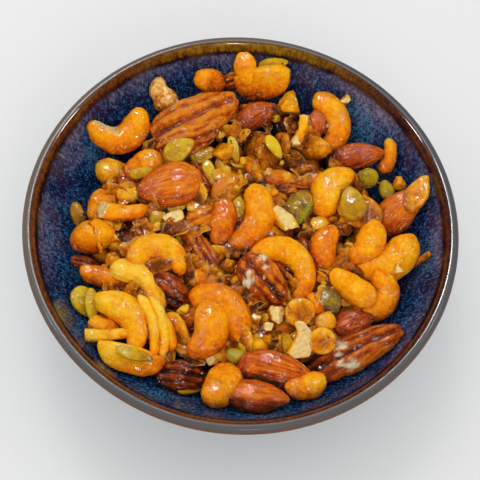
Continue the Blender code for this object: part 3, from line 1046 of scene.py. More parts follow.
def cashew_shape(blank: Blank, curl: float = 72.0) -> Spread:
    """Kidney whose ends turn towards +Y, with a seam along its back and its hollow side.

    Args:
        blank: The nut before it is shaped.
        curl: Half of the arc that it bends along, in degrees.

    Returns:
        The corners along each axis, in mm.
    """
    u, v, w, length, width = blank
    ring = np.sqrt(np.maximum(0.0, 1.0 - u * u))
    girth = 0.5 * width * (1.0 + 0.13 * u) * ring**0.6 / np.maximum(ring, 1e-6)
    girth = girth * (1.0 - 0.05 * np.exp(-((w / 0.1) ** 2)))
    sweep = math.sin(math.radians(min(90.0, 0.85 * curl)))
    arc = (length - 0.85 * width) / (2.0 * sweep)
    angle = u * math.radians(curl)
    reach = arc - v * girth
    return reach * np.sin(angle), arc - reach * np.cos(angle) - 0.25 * arc, w * girth * 0.92


def ring_cashew_shape(blank: Blank) -> Spread:
    """Kidney that curls well round."""
    return cashew_shape(blank, 98.0)


def sliver_shape(blank: Blank) -> Spread:
    """Slender curved strip with blunt ends, standing on edge.

    Args:
        blank: The nut before it is shaped.

    Returns:
        The corners along each axis, in mm.
    """
    u, v, w, length, width = blank
    body = blank.blunted(1.7)
    return 0.5 * length * u, 0.5 * width * v * body + 0.11 * length * (u * u - 0.4), 0.6 * width * w * body


def moon_shape(blank: Blank) -> Spread:
    """Half of a round slab: straight on its +Y side, with a raised edge there.

    Args:
        blank: The nut before it is shaped.

    Returns:
        The corners along each axis, in mm.
    """
    u, v, w, length, width = blank
    y = np.where(v > 0.0, 0.2 * v * blank.blunted(1.25), 0.85 * v) * width + 0.3 * width
    return 0.5 * u * length, y, 0.34 * w * width * (1.0 + 0.35 * v)


def pecan_folds(u: Points, v: Points) -> Points:
    """Fold a pecan: its furrow, a fold down each lobe and wrinkles.

    Args:
        u: Places along it.
        v: Places across it.

    Returns:
        The depth of the folds there, as a share of the deepest.
    """
    furrow = np.exp(-((v / 0.15) ** 2))
    side = np.abs(v) - 0.55 - 0.06 * np.sin(5.0 * u + 3.0 * np.sign(v))
    fold = 0.5 * np.exp(-((side / 0.09) ** 2))
    wrinkles = 0.13 * (1.0 + np.sin(17.0 * u + 5.0 * v)) * (1.0 - v * v)
    return np.minimum(1.0, furrow + fold + wrinkles) * (1.0 - u**8)


def pecan_shape(blank: Blank) -> Spread:
    """Two wrinkled lobes with a furrow between them, flatter below.

    Args:
        blank: The nut before it is shaped.

    Returns:
        The corners along each axis, in mm.
    """
    u, v, w, length, width = blank
    height = np.where(w > 0.0, 0.36 * w, 0.22 * w)
    folds = 0.14 * pecan_folds(u, v) * np.where(w > 0.0, np.minimum(1.0, 3.0 * w), 0.3 * w)
    scallops = 1.0 + 0.03 * np.sin(10.0 * u + 2.0)
    cleft = 1.0 - 0.05 * np.exp(-((v / 0.16) ** 2)) * np.abs(u) ** 6
    return 0.5 * u * length * cleft, 0.5 * v * width * (1.0 - 0.10 * u) * scallops, (height - folds) * width


def almond_shape(blank: Blank) -> Spread:
    """Flattened drop, pointed at +X, with fine ribs along it.

    Args:
        blank: The nut before it is shaped.

    Returns:
        The corners along each axis, in mm.
    """
    u, v, w, length, width = blank
    taper = 1.04 - 0.24 * u - 0.14 * u * u
    ribs = 1.0 + 0.026 * np.sin(13.0 * np.arctan2(w, v) + 2.0 * u)
    return 0.5 * u * length, 0.5 * v * width * taper, 0.29 * w * width * taper * ribs


def seed_shape(blank: Blank) -> Spread:
    """Thin drop, pointed at +X, with a raised edge.

    Args:
        blank: The nut before it is shaped.

    Returns:
        The corners along each axis, in mm.
    """
    u, v, w, length, width = blank
    taper = 1.04 - 0.28 * u - 0.12 * u * u
    rim = 1.0 + 0.5 * np.exp(-(((np.hypot(u, v) - 0.88) / 0.09) ** 2))
    return 0.5 * u * length, 0.5 * v * width * taper, (0.5 + 0.11 * width) * w * taper * rim


def plump_shape(blank: Blank) -> Spread:
    """Plump kernel."""
    u, v, w, length, width = blank
    return 0.5 * u * length, 0.5 * v * width * (1.0 - 0.08 * u), 0.42 * w * width


def kernel_shape(blank: Blank) -> Spread:
    """Bent kernel, thicker at its head, with blunt ends.

    Args:
        blank: The nut before it is shaped.

    Returns:
        The corners along each axis, in mm.
    """
    u, v, w, length, width = blank
    girth = 0.5 * width * (1.0 - 0.16 * u) * blank.blunted(1.5)
    bend = 0.3 * width * (u * u - 0.4)
    return 0.5 * length * u, v * girth + bend, 0.9 * w * girth


def knuckle_shape(blank: Blank) -> Spread:
    """Bent kernel with a waist between its two knobs.

    Args:
        blank: The nut before it is shaped.

    Returns:
        The corners along each axis, in mm.
    """
    u, v, w, length, width = blank
    waist = 0.78 + 0.22 * np.cos(4.2 * u + 0.5) ** 2 + 0.12 * u
    girth = 0.5 * width * waist * blank.blunted(1.3)
    bend = 0.25 * width * (u * u - 0.4)
    return 0.5 * length * u, v * girth + bend, 0.9 * w * girth


def stick_shape(blank: Blank) -> Spread:
    """Slightly bent splinter with rounded edges and blunt ends.

    Args:
        blank: The nut before it is shaped.

    Returns:
        The corners along each axis, in mm.
    """
    u, v, w, length, width = blank
    across, upwards = v / blank.ring(), w / blank.ring()
    square = 0.5 * width / np.maximum(1e-6, np.abs(across) ** 3 + np.abs(upwards) ** 3) ** 0.33
    girth = square * np.minimum(1.0, 2.2 * blank.ring()) * (1.0 - 0.12 * u)
    bend = 0.22 * width * (u * u - 0.4)
    return 0.5 * length * np.clip(u * 1.1, -1.0, 1.0), across * girth + bend, 0.8 * upwards * girth


def disc_shape(blank: Blank) -> Spread:
    """Flat round flake with a thick edge.

    Args:
        blank: The nut before it is shaped.

    Returns:
        The corners along each axis, in mm.
    """
    u, v, w, length, width = blank
    edge = 1.0 + 0.9 * (u * u + v * v) ** 3
    return 0.5 * u * length, 0.5 * v * width, 0.15 * w * width * edge


def flake_shape(blank: Blank) -> Spread:
    """Thin bent shard with a ragged edge.

    Args:
        blank: The shard before it is shaped.

    Returns:
        The corners along each axis, in mm.
    """
    u, v, w, length, width = blank
    around = np.arctan2(v, u)
    ragged = 1.0 + 0.16 * np.sin(3.0 * around + length) + 0.1 * np.sin(5.0 * around + 3.0 * width)
    ragged = ragged + 0.05 * np.sin(13.0 * around + 5.0 * length)
    bend = 0.15 * width * (u * u - 0.8 * v * v + 0.5 * u * v)
    return 0.5 * u * length * ragged, 0.5 * v * width * ragged, 0.4 * w + bend


def chunk_shape(blank: Blank) -> Spread:
    """Chip about as wide as long."""
    u, v, w, length, width = blank
    return 0.5 * u * length, 0.5 * v * width, 0.4 * w * width


# ---------------------------------------------------------------- the layout


class Cut(Enum):
    """What marks a nut: where it is broken or bare, its side darkened as painted shade, or its crack."""

    NONE = 0
    HEAD = 1
    TAIL = 2
    TOP = 3
    INNER = 4
    BARE = 5
    EDGE = 6
    DARK = 7
    CRACK = 8


class Lie(NamedTuple):
    """One nut: its place in the view, its size in mm, how it lies, its roast and what marks it."""

    x: float
    y: float
    length: float
    width: float
    turn: float
    dip: float
    roll: float
    layer: float
    toast: float
    cut: Cut = Cut.NONE


# Each nut as (x, y) of its middle in the view, length and width in mm, then degrees: turn of its long
# axis from the view's right, dip of that axis towards the eye, roll about it. Then come its layer and
# its roast, from 0, pale, to 1, dark.
CASHEWS = (
    Lie(143, 167, 19.0, 11.0, 30, 0, 90, 1.1, 0.58),
    Lie(102, 206, 16.5, 10.5, 60, 0, 90, 0.7, 0.48),
    Lie(96, 240, 19.5, 13.0, 200, 0, 30, 1.3, 0.56, Cut.CRACK),
    Lie(222, 223, 19.5, 10.5, 75, 0, 90, 1.1, 0.70),
    Lie(251, 220, 29.0, 11.0, 70, 0, 5, 2.2, 0.60),
    Lie(198, 278, 9.5, 7.0, 12, 0, 90, 0.8, 0.55),
    Lie(205, 331, 25.0, 11.3, 76, 0, 0, 2.2, 0.62),
    Lie(222, 312, 28.5, 12.0, 140, 0, 0, 1.1, 0.68),
    Lie(125, 319, 27.0, 9.4, 128, 0, 10, 2.2, 0.40),
    Lie(143, 285, 27.0, 9.0, 135, 0, 30, 1.1, 0.30),
    Lie(100, 275, 17.0, 8.0, -12, 0, 90, 1.1, 0.60),
    Lie(103, 328, 14.0, 8.0, -20, 0, 90, 0.9, 0.45),
    Lie(220, 387, 20.0, 12.5, 56, 0, 80, 1.3, 0.50),
    Lie(306, 388, 16.5, 8.5, 12, 0, 70, 0.8, 0.50),
    Lie(352, 287, 21.5, 10.3, -35, 0, 90, 1.9, 0.42),
    Lie(385, 258, 28.5, 12.5, 25, 0, 10, 1.2, 0.48),
    Lie(365, 243, 21.0, 10.5, 62, 0, 10, 2.0, 0.52),
    Lie(327, 248, 19.5, 9.5, 258, 0, 10, 1.3, 0.74),
    Lie(333, 192, 25.0, 11.5, 240, 0, 5, 2.0, 0.46),
    Lie(330, 124, 27.0, 9.4, 100, -10, 10, 1.1, 0.56),
    Lie(246, 50, 15.0, 9.0, 98, -10, 90, 2.8, 0.40),
    Lie(209, 82, 15.0, 10.0, -25, 0, 90, 1.2, 0.58),
    Lie(316, 303, 11.0, 6.0, -55, 0, 60, 1.1, 0.66),
    Lie(322, 275, 9.0, 6.5, 60, 0, 90, 0.8, 0.60),
)
RING_CASHEWS = (
    Lie(291, 262, 27.0, 8.8, 135, 0, 0, 1.6, 0.50),
    Lie(378, 299, 22.0, 9.5, 60, 0, 15, 0.9, 0.60),
    Lie(119, 133, 25.0, 10.5, 17, 0, 0, 1.7, 0.60, Cut.INNER),
    Lie(160, 252, 23.0, 9.2, 172, 0, 10, 1.6, 0.50),
)
PECANS = (
    Lie(196, 119, 36.0, 16.0, 27, 0, 0, 1.9, 0.24),
    Lie(188, 140, 25.0, 11.0, 22, 0, 25, 2.9, 0.32),
    Lie(202, 217, 12.5, 8.0, 22, 0, 0, 0.9, 0.10),
    Lie(263, 279, 21.5, 13.0, -50, 0, 0, 1.7, 0.50, Cut.BARE),
    Lie(285, 268, 12.0, 7.5, -55, 0, 0, 1.0, 0.70),
    Lie(205, 256, 20.0, 7.5, -58, 0, 0, 0.6, 0.42),
    Lie(169, 290, 18.0, 12.0, -35, 0, 30, 0.8, 0.80),
    Lie(87, 263, 11.5, 4.5, -12, 0, 0, 0.7, 0.70),
    Lie(182, 375, 18.0, 10.5, -5, 0, 0, 0.7, 0.85),
    Lie(354, 352, 37.5, 12.5, 24, 0, 0, 1.6, 0.50, Cut.BARE),
    Lie(234, 81, 9.0, 6.5, 20, 0, 0, 1.0, 0.30),
    Lie(205, 178, 9.0, 5.0, -60, 0, 0, 0.9, 0.40),
    Lie(296, 190, 12.0, 5.5, -5, 0, 0, 0.9, 0.50),
)
ALMONDS = (
    Lie(170, 186, 24.0, 15.5, 192, 0, 0, 2.0, 0.34),
    Lie(226, 187, 13.5, 7.0, 45, 0, 0, 0.9, 0.12),
    Lie(257, 401, 22.0, 10.0, -8, 0, 15, 1.2, 0.36, Cut.DARK),
    Lie(353, 322, 15.0, 8.5, 15, 0, 0, 1.4, 0.66),
    Lie(398, 212, 22.5, 12.0, 42, 0, 10, 1.3, 0.30),
    Lie(357, 157, 19.5, 9.5, 10, 0, 10, 1.3, 0.55),
    Lie(317, 123, 10.5, 7.5, 80, 0, 0, 1.1, 0.40),
    Lie(256, 116, 17.5, 9.0, 30, 0, 0, 1.6, 0.62),
    Lie(281, 178, 13.0, 5.5, 0, 0, 0, 0.9, 0.28),
    Lie(277, 371, 28.0, 12.0, -13, 0, 20, 1.9, 0.46, Cut.DARK),
)
PUMPKIN_SEEDS = (
    Lie(179, 150, 12.5, 7.8, 36, 0, 0, 3.6, 0.34),
    Lie(142, 173, 9.0, 4.0, 15, 0, 0, 2.0, 0.40),
    Lie(79, 217, 11.0, 4.5, -75, 0, 0, 0.7, 0.60),
    Lie(157, 218, 7.5, 4.5, 30, 0, 0, 0.9, 0.40),
    Lie(178, 207, 8.0, 3.5, 20, 0, 0, 0.9, 0.30),
    Lie(135, 354, 13.0, 4.0, -12, 0, 0, 3.6, 0.32),
    Lie(84, 301, 11.5, 7.5, -72, 0, 0, 1.2, 0.30),
    Lie(93, 307, 14.0, 4.5, -82, 0, 0, 1.7, 0.20),
    Lie(191, 387, 10.0, 4.5, 5, 0, 0, 0.6, 0.50),
    Lie(288, 348, 10.5, 3.5, -84, 0, 0, 1.6, 0.50),
    Lie(352, 204, 13.0, 8.8, 100, 0, 0, 2.9, 0.45),
    Lie(273, 65, 12.0, 5.0, 12, 0, 0, 2.2, 0.40),
    Lie(274, 147, 10.0, 4.0, -58, 0, 0, 3.4, 0.00),
    Lie(234, 150, 10.5, 3.5, -76, 0, 0, 1.8, 0.20),
    Lie(202, 156, 9.0, 5.0, 10, 0, 0, 0.8, 0.50),
    Lie(210, 173, 10.0, 4.0, -72, 0, 0, 1.2, 0.20),
    Lie(238, 208, 8.5, 4.5, 85, 0, 0, 1.2, 0.40),
    Lie(249, 347, 7.5, 4.5, -20, 0, 0, 1.2, 0.30),
)
LEAVES = (
    Lie(420, 193, 15.5, 7.8, 62, -10, 0, 1.5, 0.42),
)
PISTACHIOS = (
    Lie(299, 208, 13.0, 9.5, 60, 0, 0, 1.3, 0.55, Cut.EDGE),
    Lie(329, 300, 11.0, 7.5, -52, 0, 0, 0.9, 0.60),
    Lie(368, 178, 8.0, 7.0, 10, 0, 0, 1.2, 0.30),
    Lie(386, 192, 8.0, 5.5, -70, 0, 0, 1.0, 0.25),
    Lie(238, 356, 8.0, 5.0, -20, 0, 0, 1.1, 0.10),
)
PEANUTS = (
    Lie(110, 172, 10.5, 9.5, 20, 0, 0, 0.7, 0.40),
    Lie(129, 194, 9.0, 7.8, 0, 0, 0, 0.9, 0.36),
    Lie(325, 322, 8.0, 6.5, 60, 0, 0, 1.3, 0.40),
    Lie(317, 226, 9.0, 7.0, 10, 0, 0, 0.9, 0.40),
)
KERNELS = (
    Lie(121, 211, 19.0, 5.8, -2, 0, 0, 1.8, 0.60, Cut.TAIL),
    Lie(387, 157, 13.5, 5.0, 76, 0, 0, 1.6, 0.55),
    Lie(301, 128, 14.5, 3.8, 74, 0, 0, 1.6, 0.40, Cut.HEAD),
    Lie(301, 340, 13.0, 6.2, 80, 0, 0, 2.0, 0.30, Cut.TOP),
)
SLIVERS = (
    Lie(151, 325, 22.5, 3.6, 103, 0, 0, 2.3, 0.28),
    Lie(161, 326, 21.5, 3.6, 101, 0, 0, 2.1, 0.26),
    Lie(168, 330, 15.0, 3.2, 112, 0, 0, 1.8, 0.42),
)
MOONS = (
    Lie(127, 363, 24.0, 8.8, -10, 0, 10, 1.0, 0.42),
    Lie(262, 84, 20.0, 11.5, 6, 0, 10, 2.0, 0.54),
)
CRACKED = (
    Lie(169, 103, 20.0, 9.5, -48, 0, 20, 0.9, 0.34),
)
STICKS = (
    Lie(105, 336, 14.7, 3.8, 9, 8, 0, 1.9, 0.22),
    Lie(417, 262, 11.5, 2.2, 27, 0, 0, 1.6, 0.80),
)
DISCS = (
    Lie(322, 341, 9.8, 9.0, -30, 0, 0, 2.2, 0.55),
    Lie(297, 312, 11.0, 9.5, 20, 0, 0, 1.4, 0.60),
    Lie(360, 212, 17.0, 12.0, -20, 0, 0, 2.0, 0.75),
    Lie(178, 334, 17.0, 8.0, -65, 0, 20, 1.2, 0.62),
    Lie(238, 334, 15.0, 8.0, -58, 0, 25, 1.3, 0.66),
    Lie(159, 265, 12.5, 5.5, 8, 10, 0, 2.0, 0.80),
)
CHUNKS = (
    Lie(317, 149, 18.0, 13.0, 195, 0, 0, 1.9, 0.58),
    Lie(288, 104, 14.0, 12.5, 80, 0, 0, 1.0, 0.42),
    Lie(226, 152, 18.0, 10.5, -72, 0, 0, 1.9, 0.45),
    Lie(286, 152, 15.0, 8.0, 85, 0, 0, 0.9, 0.75),
    Lie(397, 186, 7.0, 6.0, 60, 0, 0, 1.4, 0.42),
    Lie(159, 264, 11.0, 6.0, 5, 0, 0, 1.0, 0.50),
    Lie(174, 219, 9.0, 7.0, 40, 0, 0, 1.2, 0.55, Cut.TOP),
    Lie(286, 221, 13.0, 10.5, -35, 0, 0, 1.7, 0.00, Cut.TOP),
    Lie(113, 261, 9.0, 6.5, 30, 0, 0, 1.5, 0.60),
    Lie(275, 313, 9.0, 8.0, -30, 0, 0, 1.6, 0.45, Cut.TOP),
    Lie(267, 326, 6.5, 5.0, 20, 0, 0, 1.4, 0.45, Cut.TOP),
    Lie(255, 317, 10.5, 5.0, 85, 0, 0, 1.3, 0.45, Cut.TOP),
    Lie(267, 340, 8.5, 7.0, -60, 0, 0, 1.2, 0.50),
    Lie(397, 270, 5.5, 4.5, 0, 0, 0, 3.0, 0.30, Cut.TOP),
    Lie(389, 278, 5.5, 3.5, 20, 0, 0, 2.5, 0.20, Cut.TOP),
    Lie(344, 101, 7.0, 5.0, -40, 0, 0, 1.4, 0.40, Cut.TOP),
    Lie(296, 142, 6.5, 5.0, 60, 0, 0, 1.7, 0.40, Cut.TOP),
    Lie(258, 176, 8.0, 5.5, 75, 0, 0, 1.4, 0.55),
    Lie(273, 195, 7.5, 5.5, -60, 0, 0, 1.2, 0.60),
    Lie(211, 361, 6.0, 5.0, 0, 0, 0, 1.1, 0.20, Cut.TOP),
    Lie(184, 309, 6.0, 5.0, 0, 0, 0, 1.1, 0.30),
)
CLUSTERS = (
    Lie(262, 149, 18.5, 15.5, -40, 0, 0, 2.2, 0.38),
    Lie(230, 267, 9.0, 6.5, 20, 0, 0, 1.2, 0.40),
    Lie(238, 291, 13.0, 9.0, -40, 0, 0, 0.8, 0.55),
    Lie(139, 232, 10.0, 7.0, 10, 0, 0, 0.7, 0.60),
    Lie(306, 171, 12.5, 7.0, 10, 0, 0, 0.8, 0.60),
)
LARGE_NUTS = (*CASHEWS, *RING_CASHEWS, *PECANS, *ALMONDS)

# Breaks along a set plane: its outward normal, and its distance from the middle as a share of the length.
BREAKS: dict[Cut, tuple[Triple, float]] = {
    Cut.HEAD: ((1.0, 0.1, 0.25), 0.34),
    Cut.INNER: ((0.5, 0.65, 0.55), 0.05),
    Cut.TAIL: ((-0.75, 0.1, 0.65), 0.30),
}

# Kinds that the hidden nuts are shared out to, in turn.
HOMES = ("cashews", "pecans", "clusters", "cashews", "almonds", "broken_nuts", "cashews", "clusters")

# Relief of the nuts: lumps, fine sugar and hollows with ridges between them.
CRUST = (
    Grain(2.4 * MM, 0.6 * MM),
    Grain(0.9 * MM, 0.25 * MM),
    Grain(3.6 * MM, 0.7 * MM, "VORONOI_F1"),
)
HIDDEN_CRUST = Grain(2.2 * MM, 0.5 * MM)
CORE_LUMPS = Grain(5.0 * MM, 1.6 * MM)


# ---------------------------------------------------------------- the nuts


def gauss_triple(draw: random.Random, spread: float) -> Points:
    """Three random numbers about 0."""
    return np.array([draw.gauss(0.0, spread) for _ in range(3)])


def round_blank(sides: int, rings: int) -> tuple[Points, Points]:
    """Model a unit ball once for a kind of nut.

    Args:
        sides: Sides around the long axis.
        rings: Rings along it.

    Returns:
        The corners as rows of (u, v, w), and the corners of each triangle.
    """
    deselect()
    bpy.ops.mesh.primitive_uv_sphere_add(segments=sides, ring_count=rings, radius=1.0)
    ball = bpy.context.active_object
    bpy.ops.object.mode_set(mode="EDIT")
    bpy.ops.mesh.select_all(action="SELECT")
    bpy.ops.mesh.quads_convert_to_tris()
    bpy.ops.object.mode_set(mode="OBJECT")
    mesh = ball.data
    corners = np.empty(len(mesh.vertices) * 3)
    mesh.vertices.foreach_get("co", corners)
    triangles = np.empty(len(mesh.polygons) * 3, dtype=np.int32)
    mesh.polygons.foreach_get("vertices", triangles)
    bpy.data.objects.remove(ball, do_unlink=True)
    return corners.reshape(-1, 3)[:, (2, 0, 1)], triangles.reshape(-1, 3)


class Gathering:
    """Gathers the meshes of many nuts and joins them into one piece."""

    ball_step: float = 7.3

    def __init__(self, name: str) -> None:
        """Start an empty piece.

        Args:
            name: The piece's name.
        """
        self.name = name
        self.corners: list[Points] = []
        self.triangles: list[Points] = []
        self.marks: dict[str, list[Points]] = {"ball": [], "toast": [], "cut": []}
        self.count = 0

    def add(self, corners: Points, triangles: Points, ball: Points, toast: Points, cut: Points) -> None:
        """Add one nut.

        Args:
            corners: Its corners in metres.
            triangles: Corners of each of its triangles.
            ball: Its corners on the unit ball. They are shifted, so that each nut has streaks of its own.
            toast: The roast of each corner, with painted light and shade added to it.
            cut: How much each corner shows the inside.
        """
        shift = np.array((self.ball_step * len(self.corners), 0.0, 0.0))
        self.corners.append(corners)
        self.triangles.append(triangles + self.count)
        self.marks["ball"].append(ball + shift)
        self.marks["toast"].append(toast)
        self.marks["cut"].append(cut)
        self.count += len(corners)

    def join(self) -> bpy.types.Object:
        """Make the piece of all that was gathered.

        Returns:
            The piece.
        """
        corners = np.concatenate(self.corners)
        triangles = np.concatenate(self.triangles)
        mesh = bpy.data.meshes.new(self.name)
        mesh.vertices.add(len(corners))
        mesh.vertices.foreach_set("co", corners.ravel())
        mesh.loops.add(triangles.size)
        mesh.loops.foreach_set("vertex_index", triangles.ravel())
        mesh.polygons.add(len(triangles))
        mesh.polygons.foreach_set("loop_start", np.arange(0, triangles.size, 3))
        mesh.update(calc_edges=True)
        ball = mesh.attributes.new("ball", "FLOAT_VECTOR", "POINT")
        ball.data.foreach_set("vector", np.concatenate(self.marks["ball"]).ravel())
        for name in ("toast", "cut"):
            mark = mesh.attributes.new(name, "FLOAT", "POINT")
            mark.data.foreach_set("value", np.concatenate(self.marks[name]))
        item = bpy.data.objects.new(self.name, mesh)
        bpy.context.scene.collection.objects.link(item)
        return smooth(item)


@dataclass
class NutKind:
    """One kind of nut: how it is shaped, laid and dressed."""

    name: str
    shape: Shape
    finish: NutFinish
    lies: tuple[Lie, ...]
    sides: int = 36
    rings: int = 30
    lumps: float = 0.5
    crust: float = 1.0
    # Strength of the painted shade on each nut's lower side.
    painted_shade: float = 0.4
    broken: bool = False
    gain: Triple = (1.06, 1.1, 1.1)
    outline_gain: Triple = (1.0, 1.1, 1.1)
    outline_sides: int = 8
    outline_rings: int = 6
    waves: int = 5
    wave_pitch: float = 2.4
    wave_lift: float = 0.022
    facets: int = 8
    break_wave: float = 1.6
    break_relief: float = 0.12
    flattened: float = 0.97
    blank: tuple[Points, Points] = field(init=False)

    def __post_init__(self) -> None:
        """Model the blank that each nut of the kind is shaped from."""
        self.blank = round_blank(self.sides, self.rings)

    def nut(self, lie: Lie, draw: random.Random) -> tuple[Points, Points]:
        """Shape one nut about its middle.

        Args:
            lie: The nut's row of the layout.
            draw: Where random numbers come from.

        Returns:
            The corners in mm, and for each how much it shows the inside, between 0 and 1.
        """
        ball = self.blank[0]
        u, v, w = ball.T
        corners = np.stack(self.shape(Blank(u, v, w, lie.length, lie.width)), axis=1) * self.gain
        corners += self.unevenness(corners, lie, draw)
        cut = np.zeros(len(corners))
        for normal, offset, fresh in self.breaks(lie, draw):
            sliced, shaved = self.slice_off(corners, normal, offset, draw)
            kept = (u > -0.1) & (lie.cut is Cut.INNER)
            corners = np.where(kept[:, None], corners, sliced)
            cut = np.where((shaved > 0.0) & ~kept, fresh, cut)
        if lie.cut is Cut.EDGE:
            cut = np.exp(-(((v + 0.66 + 0.1 * u) / 0.1) ** 2)) * (w > 0.0)
        if lie.cut is Cut.BARE:
            cut = np.maximum(cut, self.bare_spots(draw))
        if self.shape is flake_shape:
            cut = 0.4 * np.clip((np.hypot(u, v) - 0.88) / 0.1, 0.0, 1.0)
        return corners, cut

    def roast(self, lie: Lie, heights: Points) -> Points:
        """Roast of each corner, slightly uneven from end to end, with painted light and shade: paler on top,
        darker below, on a shaded side and in the folds of pecans.

        Args:
            lie: The nut's row of the layout.
            heights: Height of each corner over the nut's middle.

        Returns:
            The roast of each corner.
        """
        u, v, w = self.blank[0].T
        toast = lie.toast + 0.08 * u * math.sin(lie.x) + 0.06 * v * math.cos(lie.y)
        level = heights / np.abs(heights).max()
        # Painted light and shade: each nut is paler on top and darker on its lower side.
        toast = toast + self.painted_shade * np.clip(0.35 - level, -0.4, 1.0)
        # Painted shade over one side of the nut.
        if lie.cut is Cut.DARK:
            toast = toast + 1.6 * np.clip(-0.1 - v, 0.0, 0.35)
        if lie.cut is Cut.CRACK:
            crack = np.exp(-(((u + 0.08 * np.sin(9.0 * v)) / 0.05) ** 2))
            toast = toast + 0.7 * crack * (w > 0.3) * (np.abs(v) < 0.6)
        # Painted shade in the folds of a pecan.
        if self.shape is pecan_shape:
            toast = toast + 0.5 * (pecan_folds(u, v) - 0.3)
        if self.shape is disc_shape:
            toast = toast + 0.6 * (0.5 - u * u - v * v)
        if self.shape is seed_shape:
            toast = toast + 0.12 * (0.7 - np.hypot(u, v))
        return toast

    def unevenness(self, corners: Points, lie: Lie, draw: random.Random) -> Points:
        """Slow bends and swellings that make each nut its own.

        Args:
            corners: The nut's corners in mm.
            lie: Its row of the layout.
            draw: Where random numbers come from.

        Returns:
            How far each corner is shifted.
        """
        shift = np.zeros_like(corners)
        for _ in range(self.waves):
            wave = gauss_triple(draw, 1.0) * self.wave_pitch / lie.width
            lift = gauss_triple(draw, 1.0) * self.lumps * self.wave_lift * lie.width
            shift += np.sin(corners @ wave + draw.uniform(0.0, math.tau))[:, None] * lift
        return shift

    def breaks(self, lie: Lie, draw: random.Random) -> list[tuple[Vector, float, float]]:
        """Choose the planes that a nut is broken along.

        Args:
            lie: The nut's row of the layout.
            draw: Where random numbers come from.

        Returns:
            Each plane's outward normal, its distance from the middle in mm and how pale it is.
        """
        planes = []
        if lie.cut in BREAKS:
            normal, share = BREAKS[lie.cut]
            planes.append((Vector(normal), share * lie.length, 1.0))
        if lie.cut is Cut.TOP:
            normal = Vector((draw.uniform(-0.2, 0.2), draw.uniform(-0.3, 0.0), 1.0))
            planes.append((normal, 0.2 * lie.width, 1.0))
        if self.broken:
            for _ in range(self.facets):
                turn = draw.uniform(0.0, math.tau)
                normal = Vector((math.cos(turn), math.sin(turn), draw.uniform(-0.5, 0.9)))
                fresh = 0.7 if lie.cut is Cut.TOP and draw.random() < 0.4 else 0.0
                planes.append((normal, draw.uniform(0.22, 0.4) * lie.width, fresh))
        return [(normal.normalized(), offset, fresh) for normal, offset, fresh in planes]

    def slice_off(
        self, corners: Points, normal: Vector, offset: float, draw: random.Random
    ) -> tuple[Points, Points]:
        """Flatten a nut against a plane, slightly rough.

        Args:
            corners: Its corners in mm.
            normal: The plane's outward normal.
            offset: The plane's distance from the middle in mm.
            draw: Where random numbers come from.

        Returns:
            The new corners, and how far each was moved.
        """
        direction = np.array(normal)
        wave = gauss_triple(draw, self.break_wave)
        rough = np.sin(corners @ wave) + 0.5 * np.sin(corners @ (wave[::-1] * 2.3))
        excess = np.maximum(0.0, corners @ direction - offset - self.break_relief * rough)
        return corners - excess[:, None] * direction * self.flattened, excess

    def bare_spots(self, draw: random.Random) -> Points:
        """Mark the places where the skin has come off.

        Args:
            draw: Where random numbers come from.

        Returns:
            A mark between 0 and 1 for each corner.
        """
        ball = self.blank[0]
        marks = np.zeros(len(ball))
        middle = draw.choice((-0.35, -0.25))
        for across in (-0.7, -0.4, 0.1, 0.4, 0.7):
            spot = np.array((draw.gauss(middle, 0.2), across, 0.6))
            away = np.linalg.norm((ball - spot) * (8.0, 3.8, 1.5), axis=1) / draw.uniform(0.6, 1.3)
            ragged = 0.25 * np.sin(23.0 * ball[:, 0] + 19.0 * ball[:, 1])
            marks = np.maximum(marks, np.clip((1.1 - away + ragged) * 3.0, 0.0, 1.0))
        return marks

    def build(self, view: View, draw: random.Random) -> bpy.types.Object:
        """Lay the nuts.

        Args:
            view: The view that they are laid out in.
            draw: Where random numbers come from.

        Returns:
            All of them as one piece.
        """
        gathering = Gathering(self.name)
        coarse = round_blank(self.outline_sides, self.outline_rings)[0]
        for lie in self.lies:
            place = view.place_on_heap(lie.x, lie.y, lie.layer)
            axes = np.array(view.lying_axes(lie, place))
            outline = np.stack(self.shape(Blank(*coarse.T, lie.length, lie.width)), axis=1)
            outline = (outline * self.outline_gain) @ axes.T * MM
            middle = view.settle(outline, place)
            corners, cut = self.nut(lie, draw)
            corners = corners @ axes.T * MM
            toast = self.roast(lie, corners[:, 2])
            gathering.add(corners + np.array(middle), self.blank[1], self.blank[0], toast, cut)
        return gathering.join()


# ---------------------------------------------------------------- the heap


class Region(NamedTuple):
    """Part of the view that small things are strewn over."""

    left: float
    right: float
    top: float
    bottom: float

    def place(self, draw: random.Random) -> tuple[float, float]:
        """Random place in it."""
        return draw.uniform(self.left, self.right), draw.uniform(self.top, self.bottom)


@dataclass
class Syrup:
    """Syrup that has run together between the nuts: their common hull, smoothed until it only fills gaps."""

    voxel: float = 0.9 * MM
    smoothing: float = 0.6
    rounds: int = 6
    pools: Grain = Grain(6.0 * MM, 4.0 * MM, level=0.9)
    lumps: Grain = Grain(1.8 * MM, 0.5 * MM)

    def build(self, pieces: list[bpy.types.Object]) -> bpy.types.Object:
        """Model the film from copies of the nuts and their core.

        Args:
            pieces: What the syrup clings to.

        Returns:
            The film.
        """
        deselect()
        for piece in pieces:
            piece.select_set(True)
        bpy.context.view_layer.objects.active = pieces[0]
        bpy.ops.object.duplicate()
        bpy.ops.object.join()
        film = bpy.context.active_object
        film.name = "syrup_film"
        apply_modifier(film, "REMESH", mode="VOXEL", voxel_size=self.voxel)
        apply_modifier(film, "SMOOTH", factor=self.smoothing, iterations=self.rounds)
        self.pools.raise_on(film)
        self.lumps.raise_on(film)
        return smooth(film)


